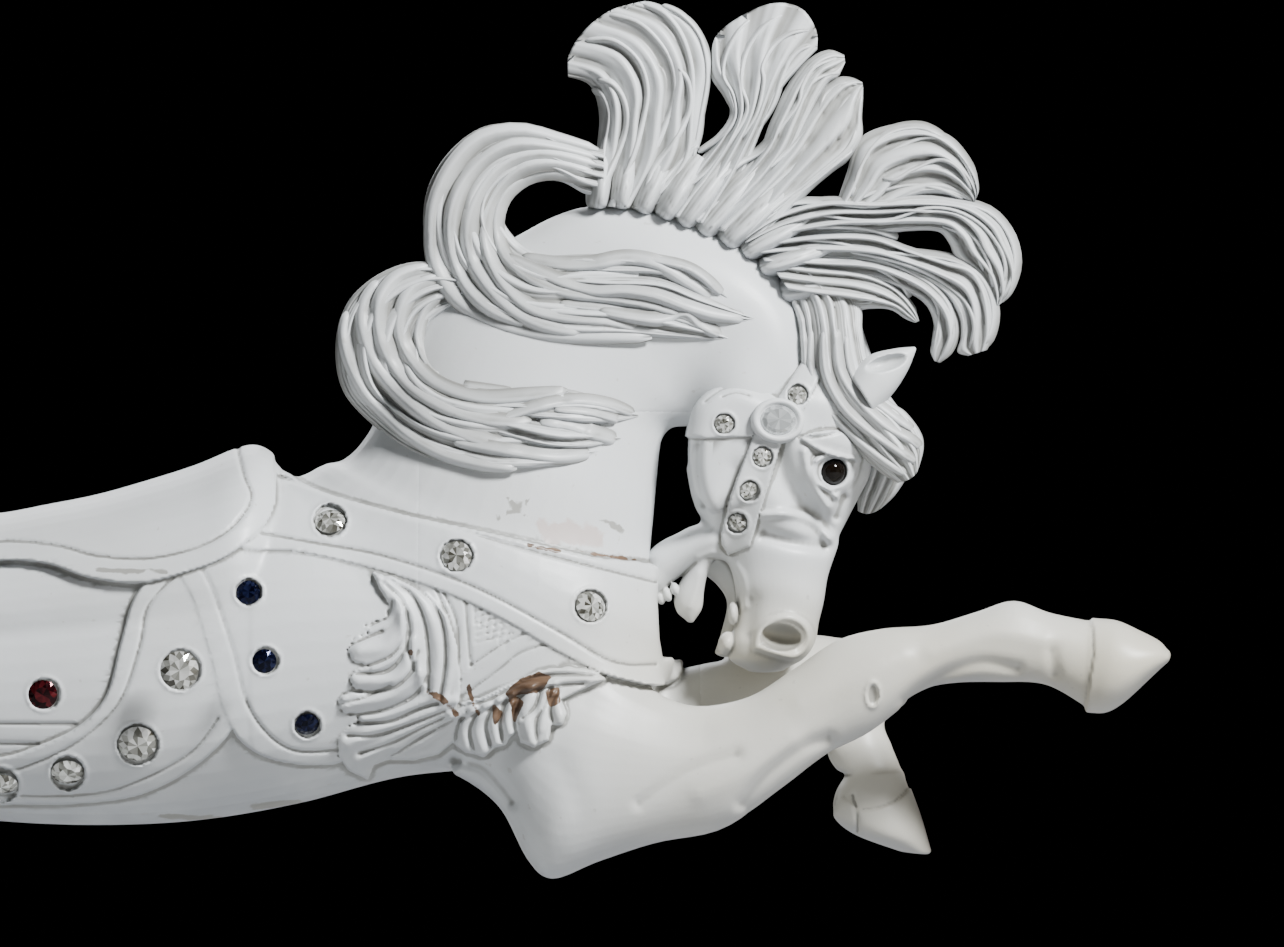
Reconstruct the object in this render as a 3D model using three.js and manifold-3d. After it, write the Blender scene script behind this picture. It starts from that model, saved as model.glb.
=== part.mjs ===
// A carved wooden carousel horse, painted white, with a flying mane, set with glass jewels and standing on
// its hind hooves on a low base. Millimetres, +Z up, +X is the way the horse faces, and the carved and
// jewelled side faces -Y. The origin is the middle of the base's underside.
//
// Outlines are lists of [x, drop], where drop is measured down from the top of the mane.
import * as THREE from "three";
import { mergeVertices } from "three/addons/utils/BufferGeometryUtils.js";
import Module from "manifold-3d";

const wasm = await Module();
wasm.setup();

// Driving sizes
const MANE_TOP = 1240;
const BASE_LENGTH = 1000;
const BASE_WIDTH = 420;
const BASE_HEIGHT = 50;
const BASE_CORNER = 60;
const BASE_BEVEL = 8;
const FIT_GAP = 0.3;
const BORDER_RAISE = 6;
const FLAP_RAISE = 7;
const STRAP_RAISE = 9;
const BRIDLE_RAISE = 4;
const LOCK_SINK = 3;
const THROUGH = 400;

// Finishes
const PAINT = new THREE.MeshStandardMaterial({ color: 0xe4e5e6, roughness: 0.42, metalness: 0 });
const CLEAR_GLASS = new THREE.MeshStandardMaterial({ color: 0xc9cbc4, roughness: 0.08, metalness: 0.3 });
const NAVY_GLASS = new THREE.MeshStandardMaterial({ color: 0x0c0f2a, roughness: 0.08, metalness: 0.2 });
const RED_GLASS = new THREE.MeshStandardMaterial({ color: 0x3a0d14, roughness: 0.08, metalness: 0.2 });
const EYE_GLASS = new THREE.MeshStandardMaterial({ color: 0x0a0a09, roughness: 0.05, metalness: 0 });

// Curves and solids

const heightOf = (drop) => MANE_TOP - drop;

// A smooth line through [x, drop] points, read by a share from 0 to 1.
function edge(points) {
  return new THREE.SplineCurve(points.map(([x, drop]) => new THREE.Vector2(x, heightOf(drop))));
}

// A value that runs smoothly through a list, read by a share from 0 to 1.
function along(values) {
  const curve = new THREE.SplineCurve(values.map((v, i) => new THREE.Vector2(i, v)));
  return (share) => curve.getPoint(share).y;
}

// Rings of equal count, skinned and closed at both ends, as a solid.
function skin(rings) {
  const sides = rings[0].length;
  const positions = rings.flat().flatMap((p) => [p.x, p.y, p.z]);
  const faces = [];
  for (let r = 0; r + 1 < rings.length; r += 1) {
    for (let s = 0; s < sides; s += 1) {
      const a = r * sides + s;
      const b = r * sides + ((s + 1) % sides);
      faces.push(a, b, a + sides, b, b + sides, a + sides);
    }
  }
  for (const [ring, turn] of [[0, false], [rings.length - 1, true]]) {
    const middle = rings[ring].reduce((sum, p) => sum.add(p), new THREE.Vector3()).divideScalar(sides);
    const pole = positions.length / 3;
    positions.push(middle.x, middle.y, middle.z);
    for (let s = 0; s < sides; s += 1) {
      const a = ring * sides + s;
      const b = ring * sides + ((s + 1) % sides);
      faces.push(...(turn ? [a, b, pole] : [b, a, pole]));
    }
  }
  const geometry = new THREE.BufferGeometry();
  geometry.setAttribute("position", new THREE.Float32BufferAttribute(positions, 3));
  geometry.setIndex(faces);
  return solid(geometry);
}

// A closed geometry as a manifold solid that faces outwards.
function solid(geometry) {
  const bare = geometry.clone();
  bare.deleteAttribute("normal");
  bare.deleteAttribute("uv");
  const merged = mergeVertices(bare, 1e-3);
  const build = (triVerts) =>
    new wasm.Manifold(
      new wasm.Mesh({ numProp: 3, vertProperties: merged.attributes.position.array, triVerts }),
    );
  const made = build(new Uint32Array(merged.index.array));
  return made.volume() < 0 ? build(new Uint32Array(merged.index.array).reverse()) : made;
}

// A rounded form between two edges seen from the side. width is its half width across the horse, and side how
// far its middle stands to the left (+) or right (-). grow swells it evenly, and caps are how far its two ends
// are rounded out.
function form({ front, back, width, side = [0], rings, sides = 12, caps = [0, 0], grow = 0 }) {
  const near = edge(front);
  const far = edge(back);
  const halfWidth = along(width.length > 1 ? width : [width[0], width[0]]);
  const middleSide = along(side.length > 1 ? side : [side[0], side[0]]);
  const ringAt = (share, scale, shift) => {
    const a = near.getPoint(share);
    const b = far.getPoint(share);
    const half = a.clone().sub(b).multiplyScalar(0.5);
    const middle = a.clone().add(b).multiplyScalar(0.5).add(shift);
    const reach = (half.length() + grow) * scale;
    half.normalize();
    const wide = (halfWidth(share) + grow) * scale;
    return Array.from({ length: sides }, (_, s) => {
      const angle = (2 * Math.PI * s) / sides;
      const in_plane = half.clone().multiplyScalar(reach * Math.cos(angle));
      return new THREE.Vector3(
        middle.x + in_plane.x,
        middleSide(share) + wide * Math.sin(angle),
        middle.y + in_plane.y,
      );
    });
  };
  const middleOf = (share) => near.getPoint(share).add(far.getPoint(share)).multiplyScalar(0.5);
  const nowhere = new THREE.Vector2();
  const list = Array.from({ length: rings + 1 }, (_, r) => ringAt(r / rings, 1, nowhere));
  const capSteps = [0.5, 0.85];
  const endWay = (share, inner) => middleOf(share).sub(middleOf(inner)).normalize();
  for (const [end, share, inner] of [[0, 0, 0.02], [1, 1, 0.98]]) {
    const reach = caps[end] + (caps[end] > 0 ? grow : 0);
    if (reach <= 0) continue;
    const way = endWay(share, inner);
    for (const step of capSteps) {
      const ring = ringAt(share, Math.sqrt(1 - step * step), way.clone().multiplyScalar(reach * step));
      if (end === 0) list.unshift(ring);
      else list.push(ring);
    }
  }
  return skin(list);
}

// A plate cut to a closed outline, running through the horse from side to side.
function through(points) {
  const outline = new THREE.Shape(points.map(([x, drop]) => new THREE.Vector2(x, heightOf(drop))));
  const plate = new THREE.ExtrudeGeometry(outline, { depth: 2 * THROUGH, bevelEnabled: false });
  return solid(plate.rotateX(Math.PI / 2).translate(0, THROUGH, 0));
}

const join = (solids) => solids.reduce((sum, next) => sum.add(next));

// Trunk, neck, head and legs

const TRUNK = {
  front: [[-450, 655], [-428, 600], [-375, 560], [-300, 538], [-200, 535], [-100, 541], [0, 541], [100, 524],
    [200, 498], [300, 481], [400, 500], [500, 520], [590, 540], [635, 575]],
  back: [[-448, 740], [-420, 788], [-375, 798], [-300, 790], [-200, 792], [-100, 809], [0, 820], [100, 824],
    [200, 820], [300, 803], [400, 776], [500, 764], [590, 740], [635, 695]],
  width: [52, 88, 118, 138, 142, 146, 150, 152, 149, 142, 132, 122, 105, 72],
  rings: 12, sides: 16, caps: [14, 16],
};

const NECK = {
  front: [[300, 560], [322, 478], [345, 462], [372, 427], [386, 385], [403, 340], [432, 297], [472, 262],
    [517, 236], [555, 216], [592, 206], [642, 208], [692, 221], [737, 242], [772, 268], [797, 302],
    [808, 340]],
  back: [[560, 760], [652, 672], [650, 600], [654, 530], [658, 475], [662, 442], [668, 430], [676, 425],
    [686, 421], [696, 415], [706, 408], [716, 402], [726, 398], [738, 395], [750, 395], [764, 400],
    [775, 410]],
  width: [100, 118, 112, 102, 92, 84, 78, 73, 68, 64, 62, 60, 58, 57, 55, 52, 45],
  rings: 12, sides: 12, caps: [0, 10],
};

const HEAD = {
  front: [[850, 345], [872, 385], [878, 420], [873, 452], [871, 475], [860, 500], [850, 520], [839, 545],
    [829, 572], [824, 595], [819, 620], [815, 640], [803, 658], [785, 669]],
  back: [[775, 370], [735, 388], [703, 405], [690, 435], [689, 465], [693, 495], [702, 520], [718, 545],
    [730, 570], [736, 597], [735, 622], [728, 645], [730, 660], [747, 670]],
  width: [40, 55, 62, 64, 63, 58, 50, 44, 40, 38, 39, 40, 36, 26],
  side: [-4], rings: 10, sides: 10, caps: [0, 3],
};

const LOWER_JAW = {
  front: [[690, 470], [698, 505], [698, 520], [680, 532], [662, 541], [649, 553], [645, 572], [649, 592]],
  back: [[740, 500], [735, 540], [722, 556], [706, 562], [690, 571], [674, 581], [665, 590], [658, 598]],
  width: [45, 38, 34, 31, 29, 28, 25, 15],
  side: [-4], rings: 6, sides: 8, caps: [0, 2],
};

const TONGUE = {
  front: [[690, 560], [677, 582], [673, 598], [677, 612], [686, 620]],
  back: [[712, 560], [706, 575], [704, 590], [702, 608], [694, 621]],
  width: [20, 18, 17, 14, 8],
  side: [-6], rings: 4, sides: 6, caps: [0, 2],
};

const NEAR_FORELEG = {
  front: [[500, 640], [530, 640], [560, 640], [600, 655], [640, 682], [690, 704], [745, 697], [790, 670],
    [835, 640], [880, 628], [930, 624], [975, 611], [1012, 600], [1048, 612], [1092, 621]],
  back: [[458, 772], [500, 806], [528, 858], [553, 877], [598, 860], [656, 841], [722, 827], [780, 787],
    [825, 753], [868, 731], [912, 698], [945, 683], [1000, 681], [1045, 684], [1087, 708]],
  width: [36, 52, 60, 64, 60, 56, 52, 46, 42, 41, 33, 30, 31, 31, 37],
  side: [-62, -74, -80, -84, -86, -86], rings: 12, sides: 8, caps: [0, 0],
};

const NEAR_FORE_HOOF = {
  front: [[1090, 619], [1113, 621], [1136, 632], [1155, 642], [1163, 651]],
  back: [[1084, 709], [1102, 710], [1120, 700], [1145, 677], [1161, 661]],
  width: [40, 44, 43, 34, 22],
  side: [-86], rings: 4, sides: 8, caps: [0, 2],
};

const FAR_FOREARM = {
  front: [[520, 640], [590, 655], [655, 671], [692, 667], [735, 652], [800, 636], [850, 640], [905, 646]],
  back: [[470, 770], [540, 800], [620, 790], [690, 768], [750, 745], [790, 730], [850, 710], [900, 706]],
  width: [30, 52, 56, 54, 48, 42, 38, 36],
  side: [66, 72, 78, 82, 84, 84], rings: 7, sides: 8, caps: [8, 10],
};

const FAR_CANNON = {
  front: [[845, 655], [842, 690], [838, 720], [828, 750], [836, 769], [848, 776]],
  back: [[915, 655], [908, 690], [886, 722], [893, 747], [899, 762], [905, 777]],
  width: [36, 32, 25, 29, 28, 29],
  side: [84, 80, 74, 68], rings: 5, sides: 8, caps: [10, 0],
};

const FAR_FORE_HOOF = {
  front: [[848, 774], [836, 795], [836, 816], [857, 834], [900, 850]],
  back: [[904, 773], [911, 793], [919, 815], [926, 838], [930, 853]],
  width: [30, 38, 42, 40, 22],
  side: [68], rings: 4, sides: 8, caps: [0, 1],
};

// Each hind leg swings from the hip: its hoof stands at stride from the near leg's.
function hindLeg(side, stride) {
  const swing = (points) =>
    points.map(([x, drop], i) => [x + stride * Math.pow(i / (points.length - 1), 0.8), drop]);
  return {
    front: swing([[-230, 590], [-215, 690], [-212, 765], [-228, 822], [-264, 870], [-306, 915], [-338, 955],
      [-352, 992], [-352, 1035], [-345, 1080], [-336, 1118], [-318, 1145], [-300, 1164], [-286, 1190]]),
    back: swing([[-440, 640], [-452, 720], [-440, 800], [-405, 860], [-392, 905], [-404, 938], [-432, 962],
      [-428, 990], [-408, 1030], [-396, 1085], [-397, 1130], [-374, 1153], [-364, 1168], [-362, 1190]]),
    width: [46, 66, 68, 56, 45, 36, 31, 30, 25, 23, 27, 27, 36, 42],
    side: [side * 0.82, side, side, side], rings: 11, sides: 8,
  };
}

const EAR = {
  front: [[856, 362], [870, 354], [892, 349], [912, 348]],
  back: [[884, 408], [897, 391], [908, 370], [914, 352]],
  width: [20, 18, 12, 3],
  rings: 3, sides: 6, caps: [0, 1],
};

const trunk = form(TRUNK);
const neck = form(NECK);
const head = form(HEAD);
const body = join([
  trunk, neck, head, form(LOWER_JAW), form(TONGUE), form(NEAR_FORELEG), form(NEAR_FORE_HOOF),
  form(FAR_FOREARM), form(FAR_CANNON), form(FAR_FORE_HOOF), form(hindLeg(-86, 0)), form(hindLeg(86, 84)),
  form({ ...EAR, side: [-46] }), form({ ...EAR, side: [38] }),
]);

// The horse's surface seen from its right side, where carving and jewels lie.

function geometryOf(made) {
  const mesh = made.getMesh();
  const geometry = new THREE.BufferGeometry();
  geometry.setAttribute("position", new THREE.Float32BufferAttribute(mesh.vertProperties, 3));
  geometry.setIndex(new THREE.BufferAttribute(mesh.triVerts, 1));
  return geometry;
}

function surfaceFinder(made) {
  const mesh = new THREE.Mesh(geometryOf(made), new THREE.MeshBasicMaterial({ side: THREE.DoubleSide }));
  const ray = new THREE.Raycaster();
  return (x, drop) => {
    ray.set(new THREE.Vector3(x, -THROUGH, heightOf(drop)), new THREE.Vector3(0, 1, 0));
    return ray.intersectObject(mesh)[0] ?? null;
  };
}

const findBody = surfaceFinder(body);


// Mane, forelock and tail: each lock lies between two edges, from its root to its tip.

// thick is the half thickness at the root, the middle and the tip; least is how far right the lock stands at
// least, and where `laid` is true it also follows the neck's surface.
function lock({ left, right, thick, least = -30, laid = true, on = findBody, rings = 6, sides = 6 }) {
  const a = edge(left);
  const b = edge(right);
  const thickness = along(thick);
  const list = Array.from({ length: rings + 1 }, (_, r) => {
    const share = r / rings;
    const from = a.getPoint(share);
    const to = b.getPoint(share);
    return Array.from({ length: sides }, (_, s) => {
      const angle = (2 * Math.PI * s) / sides;
      const across = (1 - Math.cos(angle)) / 2;
      const x = THREE.MathUtils.lerp(from.x, to.x, across);
      const z = THREE.MathUtils.lerp(from.y, to.y, across);
      const hit = laid ? on(x, MANE_TOP - z) : null;
      const middle = hit ? Math.min(hit.point.y + LOCK_SINK, least) : least;
      return new THREE.Vector3(x, middle + thickness(share) * Math.sin(angle), z);
    });
  });
  return skin(list);
}

const MANE = [
  { // the roots, gathered along the crest
    left: [[584, 196], [640, 176], [700, 186], [755, 206], [805, 228], [868, 262]],
    right: [[592, 212], [645, 217], [690, 227], [735, 248], [775, 284], [806, 322]],
    thick: [26, 37, 39, 38, 38, 34], least: -4, laid: false, rings: 6, sides: 8,
  },
  { // long curl that leaves the crest, loops back over the withers and lies along the neck
    left: [[462, 272], [420, 262], [380, 274], [348, 303], [336, 345], [343, 390], [372, 424], [412, 452],
      [460, 467], [520, 468]],
    right: [[466, 300], [446, 311], [428, 326], [422, 346], [424, 364], [436, 379], [456, 389], [480, 391],
      [510, 391], [548, 389]],
    thick: [16, 20, 22, 22, 20, 18, 6], rings: 11, sides: 8,
  },
  { left: [[480, 396], [540, 390], [575, 391], [607, 400]],
    right: [[480, 402], [540, 403], [575, 402], [606, 403]],
    thick: [6, 13, 8], rings: 3, sides: 4 },
  { left: [[480, 402], [550, 402], [600, 401], [638, 413]],
    right: [[480, 410], [550, 421], [600, 425], [637, 417]],
    thick: [6, 18, 16, 5], rings: 4, sides: 4 },
  { left: [[460, 412], [530, 419], [580, 428], [620, 436]],
    right: [[460, 424], [530, 444], [580, 449], [619, 440]],
    thick: [6, 20, 17, 5], rings: 4, sides: 4 },
  { left: [[440, 430], [500, 442], [550, 448], [592, 452]],
    right: [[440, 452], [490, 468], [545, 466], [591, 455]],
    thick: [6, 19, 15, 4], rings: 4, sides: 4 },
  { // the curl above it, which frames an open eye over the crest
    left: [[604, 150], [570, 142], [530, 126], [485, 127], [448, 154], [426, 196], [426, 245], [446, 288],
      [490, 320], [550, 335], [620, 336]],
    right: [[604, 200], [584, 194], [560, 182], [530, 182], [508, 196], [502, 214], [510, 232], [530, 250],
      [565, 262], [600, 254], [645, 255]],
    thick: [18, 22, 24, 24, 22, 20, 6], least: -26, rings: 12, sides: 8,
  },
  { left: [[540, 258], [600, 256], [660, 259], [697, 267], [727, 297]],
    right: [[540, 264], [600, 274], [655, 276], [688, 284], [725, 301]],
    thick: [6, 17, 17, 13, 4], rings: 5, sides: 4 },
  { left: [[530, 276], [600, 275], [660, 278], [700, 294], [754, 318]],
    right: [[530, 286], [600, 303], [650, 306], [700, 324], [753, 322]],
    thick: [6, 20, 21, 17, 4], rings: 5, sides: 4 },
  { left: [[510, 298], [580, 304], [640, 309], [690, 320], [727, 336]],
    right: [[505, 316], [560, 335], [620, 337], [680, 340], [726, 341]],
    thick: [6, 19, 19, 15, 4], rings: 5, sides: 4 },
  { // first upright plume, which curls over to the rear
    left: [[586, 203], [591, 175], [596, 145], [599, 118], [597, 102], [590, 90], [580, 81], [567, 77]],
    right: [[652, 210], [692, 168], [706, 118], [710, 60], [685, 14], [640, 1], [597, 21], [570, 62]],
    thick: [34, 32, 30, 26, 20, 8], least: -6, rings: 8, sides: 8,
  },
  { left: [[592, 205], [597, 165], [602, 130], [603, 108], [598, 92], [590, 83]],
    right: [[626, 208], [634, 165], [637, 128], [631, 104], [618, 88], [600, 79]],
    thick: [38, 37, 32, 22, 8], least: -10, rings: 4 },
  { left: [[630, 208], [645, 165], [660, 122], [668, 92], [672, 66]],
    right: [[656, 213], [679, 168], [693, 120], [688, 86], [674, 62]],
    thick: [38, 38, 34, 12], least: -10, rings: 4 },
  { // second plume, with three tips to the front
    left: [[652, 212], [692, 160], [724, 128], [724, 97], [711, 65], [728, 28], [770, 5], [803, 14], [816, 40]],
    right: [[700, 226], [728, 188], [750, 152], [762, 118], [768, 95], [778, 75], [792, 62], [806, 54], [817, 49]],
    thick: [36, 33, 30, 26, 20, 10], least: -6, rings: 7,
  },
  { left: [[680, 216], [722, 176], [752, 140], [770, 104], [788, 76], [808, 57], [828, 50], [844, 55]],
    right: [[724, 234], [760, 192], [790, 152], [808, 120], [818, 100], [828, 84], [838, 77], [845, 63]],
    thick: [38, 34, 31, 26, 20, 8], least: -8, rings: 6 },
  { left: [[708, 226], [750, 181], [786, 142], [806, 110], [820, 90], [836, 78], [850, 77], [862, 82]],
    right: [[760, 246], [806, 190], [832, 162], [850, 147], [858, 134], [861, 115], [863, 100], [863, 88]],
    thick: [38, 34, 31, 26, 20, 8], least: -6, rings: 6 },
  { // third plume, rising and falling forwards
    left: [[836, 204], [846, 175], [858, 140], [890, 125], [928, 125], [957, 143], [974, 168], [979, 188], [975, 201]],
    right: [[872, 212], [890, 206], [908, 200], [925, 196], [940, 196], [953, 198], [963, 200], [970, 203], [974, 206]],
    thick: [26, 27, 26, 22, 10], least: -6, rings: 8,
  },
  { // fourth, a long lock that arches over and hangs
    left: [[740, 238], [775, 212], [820, 197], [870, 198], [920, 196], [968, 200], [1000, 218], [1014, 243],
      [1020, 270], [1013, 292], [998, 306]],
    right: [[752, 250], [795, 243], [845, 238], [885, 234], [912, 231], [938, 232], [949, 244], [955, 258],
      [975, 275], [989, 295], [996, 307]],
    thick: [36, 33, 30, 27, 22, 10], least: -6, rings: 9,
  },
  { // fifth, whose end hangs in three tips
    left: [[752, 240], [820, 230], [870, 231], [906, 245], [945, 257], [975, 262], [992, 288], [998, 325], [987, 350]],
    right: [[766, 262], [820, 262], [870, 265], [910, 276], [943, 294], [958, 318], [960, 338], [957, 352], [968, 356]],
    thick: [36, 33, 29, 26, 20, 10], least: -8, rings: 7,
  },
  { left: [[760, 254], [820, 257], [870, 259], [908, 270], [937, 287], [956, 311], [960, 332], [953, 352], [940, 363]],
    right: [[770, 272], [820, 276], [870, 281], [900, 290], [921, 301], [931, 315], [934, 335], [930, 350], [934, 361]],
    thick: [38, 34, 30, 24, 18, 8], least: -10, rings: 6 },
  { // the fringe under it
    left: [[764, 256], [810, 262], [860, 269], [890, 282], [906, 296], [915, 309], [919, 321]],
    right: [[797, 303], [822, 309], [850, 312], [870, 309], [890, 310], [905, 319], [915, 323]],
    thick: [38, 34, 28, 20, 8], least: -14, rings: 6,
  },
  { // forelock, combed down over the brow
    left: [[792, 290], [801, 325], [802, 360], [807, 388], [820, 410], [840, 432], [860, 455], [880, 473], [897, 483]],
    right: [[864, 300], [862, 330], [866, 356], [873, 378], [888, 400], [905, 412], [920, 432], [923, 448], [915, 470]],
    thick: [34, 24, 20, 20, 20, 20, 14], least: -40, rings: 7, sides: 8,
  },
];

const FAR_FORELOCK = { // its other half, which falls down the far side of the brow
  left: [[812, 320], [840, 380], [862, 430], [862, 470], [858, 495], [858, 511]],
  right: [[860, 320], [884, 385], [916, 432], [912, 462], [896, 492], [872, 515]],
  thick: [30, 30, 32, 30, 20], least: 24, laid: false, rings: 5,
};

const TAIL = [
  { left: [[-410, 585], [-470, 562], [-522, 574], [-564, 622], [-586, 700], [-588, 790], [-570, 880], [-572, 960],
    [-610, 1030]],
  right: [[-420, 650], [-466, 634], [-494, 654], [-512, 704], [-520, 762], [-512, 830], [-500, 900], [-518, 970],
    [-602, 1036]],
  thick: [30, 34, 34, 30, 24, 6], least: 0, laid: false, rings: 8, sides: 8 },
  { left: [[-430, 600], [-490, 640], [-516, 720], [-516, 800], [-494, 880], [-490, 950], [-520, 1012]],
    right: [[-435, 655], [-460, 690], [-470, 750], [-466, 820], [-450, 880], [-456, 950], [-515, 1018]],
    thick: [28, 30, 28, 22, 6], least: 0, laid: false, rings: 6 },
  { left: [[-535, 590], [-590, 680], [-612, 770], [-605, 860], [-618, 930], [-660, 985]],
    right: [[-535, 660], [-560, 720], [-575, 790], [-570, 860], [-586, 925], [-655, 990]],
    thick: [20, 26, 26, 20, 6], least: 0, laid: false, rings: 6 },
];

const hair = join([...MANE, FAR_FORELOCK, ...TAIL].map(lock));

// Saddle, saddle cloth and breast strap, carved in low relief on both sides

const SADDLE_OUTLINE = [[272, 430], [278, 496], [264, 529], [230, 556], [192, 571], [145, 582], [95, 577],
  [52, 563], [5, 560], [-55, 573], [-115, 584], [-170, 562], [-204, 505], [-204, 430]];

const SADDLE = {
  front: [[-204, 545], [-196, 500], [-176, 479], [-150, 486], [-110, 510], [-50, 526], [0, 525], [50, 517],
    [100, 507], [150, 493], [200, 477], [240, 462], [262, 459], [272, 470]],
  back: [[-204, 760], [-196, 780], [-176, 790], [-150, 800], [-110, 800], [-50, 812], [0, 812], [50, 815],
    [100, 815], [150, 812], [200, 812], [240, 805], [262, 800], [272, 790]],
  width: [146, 150, 152, 152, 154, 158, 160, 161, 162, 161, 160, 156, 153, 150],
  rings: 9, sides: 16,
};

const BREAST_STRAP = [[262, 450], [310, 486], [400, 513], [500, 535], [590, 556], [675, 577], [680, 676],
  [618, 677], [560, 651], [500, 616], [440, 589], [375, 568], [300, 551], [215, 540], [215, 470]];

const FRONT_FLAP = [[250, 520], [186, 560], [200, 606], [217, 665], [226, 705], [246, 741], [285, 760], [345, 761],
  [430, 735], [500, 700], [570, 690], [580, 620], [400, 540]];

// The jewelled border is one crescent, which its rear half repeats in a shorter sweep.
const BORDER_MIDDLE = -40;
const REAR_SHORTER = 0.72;
const BORDER_INNER = [[172, 560], [140, 595], [126, 640], [112, 692], [84, 724], [40, 745], [0, 756]];
const BORDER_OUTER = [[210, 560], [245, 640], [250, 700], [212, 753], [148, 791], [75, 802], [0, 801]];
const rear = (points) =>
  points.map(([x, drop]) => [BORDER_MIDDLE - (x - BORDER_MIDDLE) * REAR_SHORTER, drop]).reverse();
const CLOTH_BORDER = [...BORDER_OUTER, ...rear(BORDER_OUTER), ...rear(BORDER_INNER).reverse(),
  ...[...BORDER_INNER].reverse()];

const coat = (grow) => form({ ...TRUNK, grow }).add(form({ ...NECK, grow }));

const trappings = join([
  form(SADDLE).intersect(through(SADDLE_OUTLINE)),
  coat(STRAP_RAISE).intersect(through(BREAST_STRAP)),
  coat(FLAP_RAISE).intersect(through(FRONT_FLAP)),
  form({ ...TRUNK, grow: BORDER_RAISE }).intersect(through(CLOTH_BORDER)),
]);

// Bridle: brow and cheek straps on both sides of the head, with a round boss where they cross

const CHEEK_STRAP = [[752, 438], [735, 490], [721, 536], [722, 545], [728, 555], [736, 551], [748, 546],
  [757, 520], [768, 480], [782, 440]];
const JOWL_STRAP = [[680, 400], [700, 380], [740, 386], [772, 400], [772, 437], [740, 436], [700, 437], [680, 441]];
const CROWN_STRAP = [[780, 398], [800, 362], [830, 362], [815, 405], [795, 418]];

const bridleCoat = form({ ...HEAD, grow: BRIDLE_RAISE }).add(form({ ...NECK, grow: BRIDLE_RAISE }));
const bridle = join([CHEEK_STRAP, JOWL_STRAP, CROWN_STRAP].map(
  (outline) => bridleCoat.intersect(through(outline)),
));

// The horse with its saddle and straps on, and where its surface lies seen from the right
const dressed = join([body, trappings, bridle]);
const findDressed = surfaceFinder(dressed);

// Leaves of the carved scroll, whose lobes lie over each other on the flap and the breast

const LEAF = [
  { left: [[372, 570], [381, 589], [393, 603], [390, 617], [370, 630], [351, 640]],
    right: [[396, 577], [407, 602], [404, 624], [393, 642], [372, 656], [353, 656]] },
  { left: [[396, 577], [408, 603], [406, 625], [394, 645], [366, 663]],
    right: [[403, 577], [416, 606], [414, 632], [400, 655], [370, 671]] },
  { left: [[403, 577], [424, 592], [430, 614], [431, 645], [418, 676], [405, 700]],
    right: [[420, 583], [436, 600], [443, 622], [444, 655], [440, 685], [434, 706]] },
  { left: [[412, 640], [407, 662], [390, 673], [354, 673]], right: [[430, 655], [415, 682], [392, 690], [353, 684]] },
  { left: [[425, 672], [405, 688], [372, 690], [341, 694]], right: [[432, 700], [406, 711], [375, 713], [344, 710]] },
  { left: [[428, 700], [400, 706], [358, 714]], right: [[434, 712], [400, 720], [360, 720]] },
  { left: [[448, 704], [410, 714], [365, 730], [339, 750]], right: [[462, 716], [415, 728], [378, 746], [364, 776]] },
  { left: [[450, 712], [410, 728], [373, 757]], right: [[466, 722], [436, 752], [375, 763]] },
  { left: [[480, 702], [458, 722], [454, 745]], right: [[506, 696], [496, 726], [478, 756]] },
  { left: [[508, 697], [492, 720], [491, 744]], right: [[516, 697], [510, 724], [505, 746]] },
  { left: [[520, 690], [507, 708], [505, 728]], right: [[528, 690], [518, 708], [517, 728]] },
  { left: [[530, 690], [518, 712], [523, 741]], right: [[548, 688], [541, 712], [548, 740]] },
  { left: [[550, 690], [541, 704], [549, 722]], right: [[566, 686], [563, 703], [564, 718]] },
  { left: [[455, 708], [500, 679], [540, 661], [578, 658], [606, 672]],
    right: [[465, 722], [505, 700], [540, 689], [575, 686], [606, 677]] },
];

const leaves = join(LEAF.map((lobe) => lock({ ...lobe, on: findDressed, thick: [6, 13, 14, 12, 8], rings: 3, sides: 4 })));

// Jewels: cut glass in round settings


const JEWELS = [
  { name: "breast_strap_jewel", at: [[332, 520], [458, 555], [591, 605]], radius: 15, finish: CLEAR_GLASS },
  { name: "flap_jewel", at: [[252, 591], [269, 659], [310, 723]], radius: 12, finish: NAVY_GLASS },
  { name: "border_jewel", at: [[185, 668], [142, 742]], radius: 19, finish: CLEAR_GLASS },
  { name: "lower_border_jewel", at: [[72, 771], [6, 783], [-62, 784], [-122, 766]], radius: 16, finish: CLEAR_GLASS },
  { name: "rear_border_jewel", at: [[-172, 735], [-196, 672]], radius: 16, finish: CLEAR_GLASS },
  { name: "cloth_jewel", at: [[50, 692], [-118, 692]], radius: 14.5, finish: RED_GLASS },
  { name: "bridle_jewel", at: [[724, 424], [762, 457], [749, 491], [737, 523], [797, 395]], radius: 9,
    finish: CLEAR_GLASS },
];
const BOSS = { at: [780, 420], radius: 27, jewel: 18 };
const EYE = { at: [831, 471], radius: 15 };

// A cut stone about +Z: pointed back, girdle at the wood's surface, sloped crown and flat table.
function stone(radius, sides) {
  const profile = [[0, -0.35], [1, 0], [0.62, 0.28], [0, 0.28]];
  return new THREE.LatheGeometry(profile.map(([r, h]) => new THREE.Vector2(r * radius, h * radius)), sides)
    .rotateX(Math.PI / 2);
}

// The hole a stone sits in, which follows its back and is open above.
function socket(radius, sides) {
  const wide = radius + FIT_GAP * 2;
  const profile = [[0, -0.35 * radius - FIT_GAP * 2], [wide, -FIT_GAP], [wide, radius], [0, radius]];
  return new THREE.LatheGeometry(profile.map(([r, h]) => new THREE.Vector2(r, h)), sides)
    .rotateX(Math.PI / 2);
}

function turnedOut(place, out, name, geometry, finish) {
  const mesh = new THREE.Mesh(geometry, finish);
  mesh.name = name;
  mesh.position.copy(place);
  mesh.quaternion.setFromUnitVectors(new THREE.Vector3(0, 0, 1), out);
  mesh.updateMatrixWorld(true);
  return mesh;
}

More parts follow.
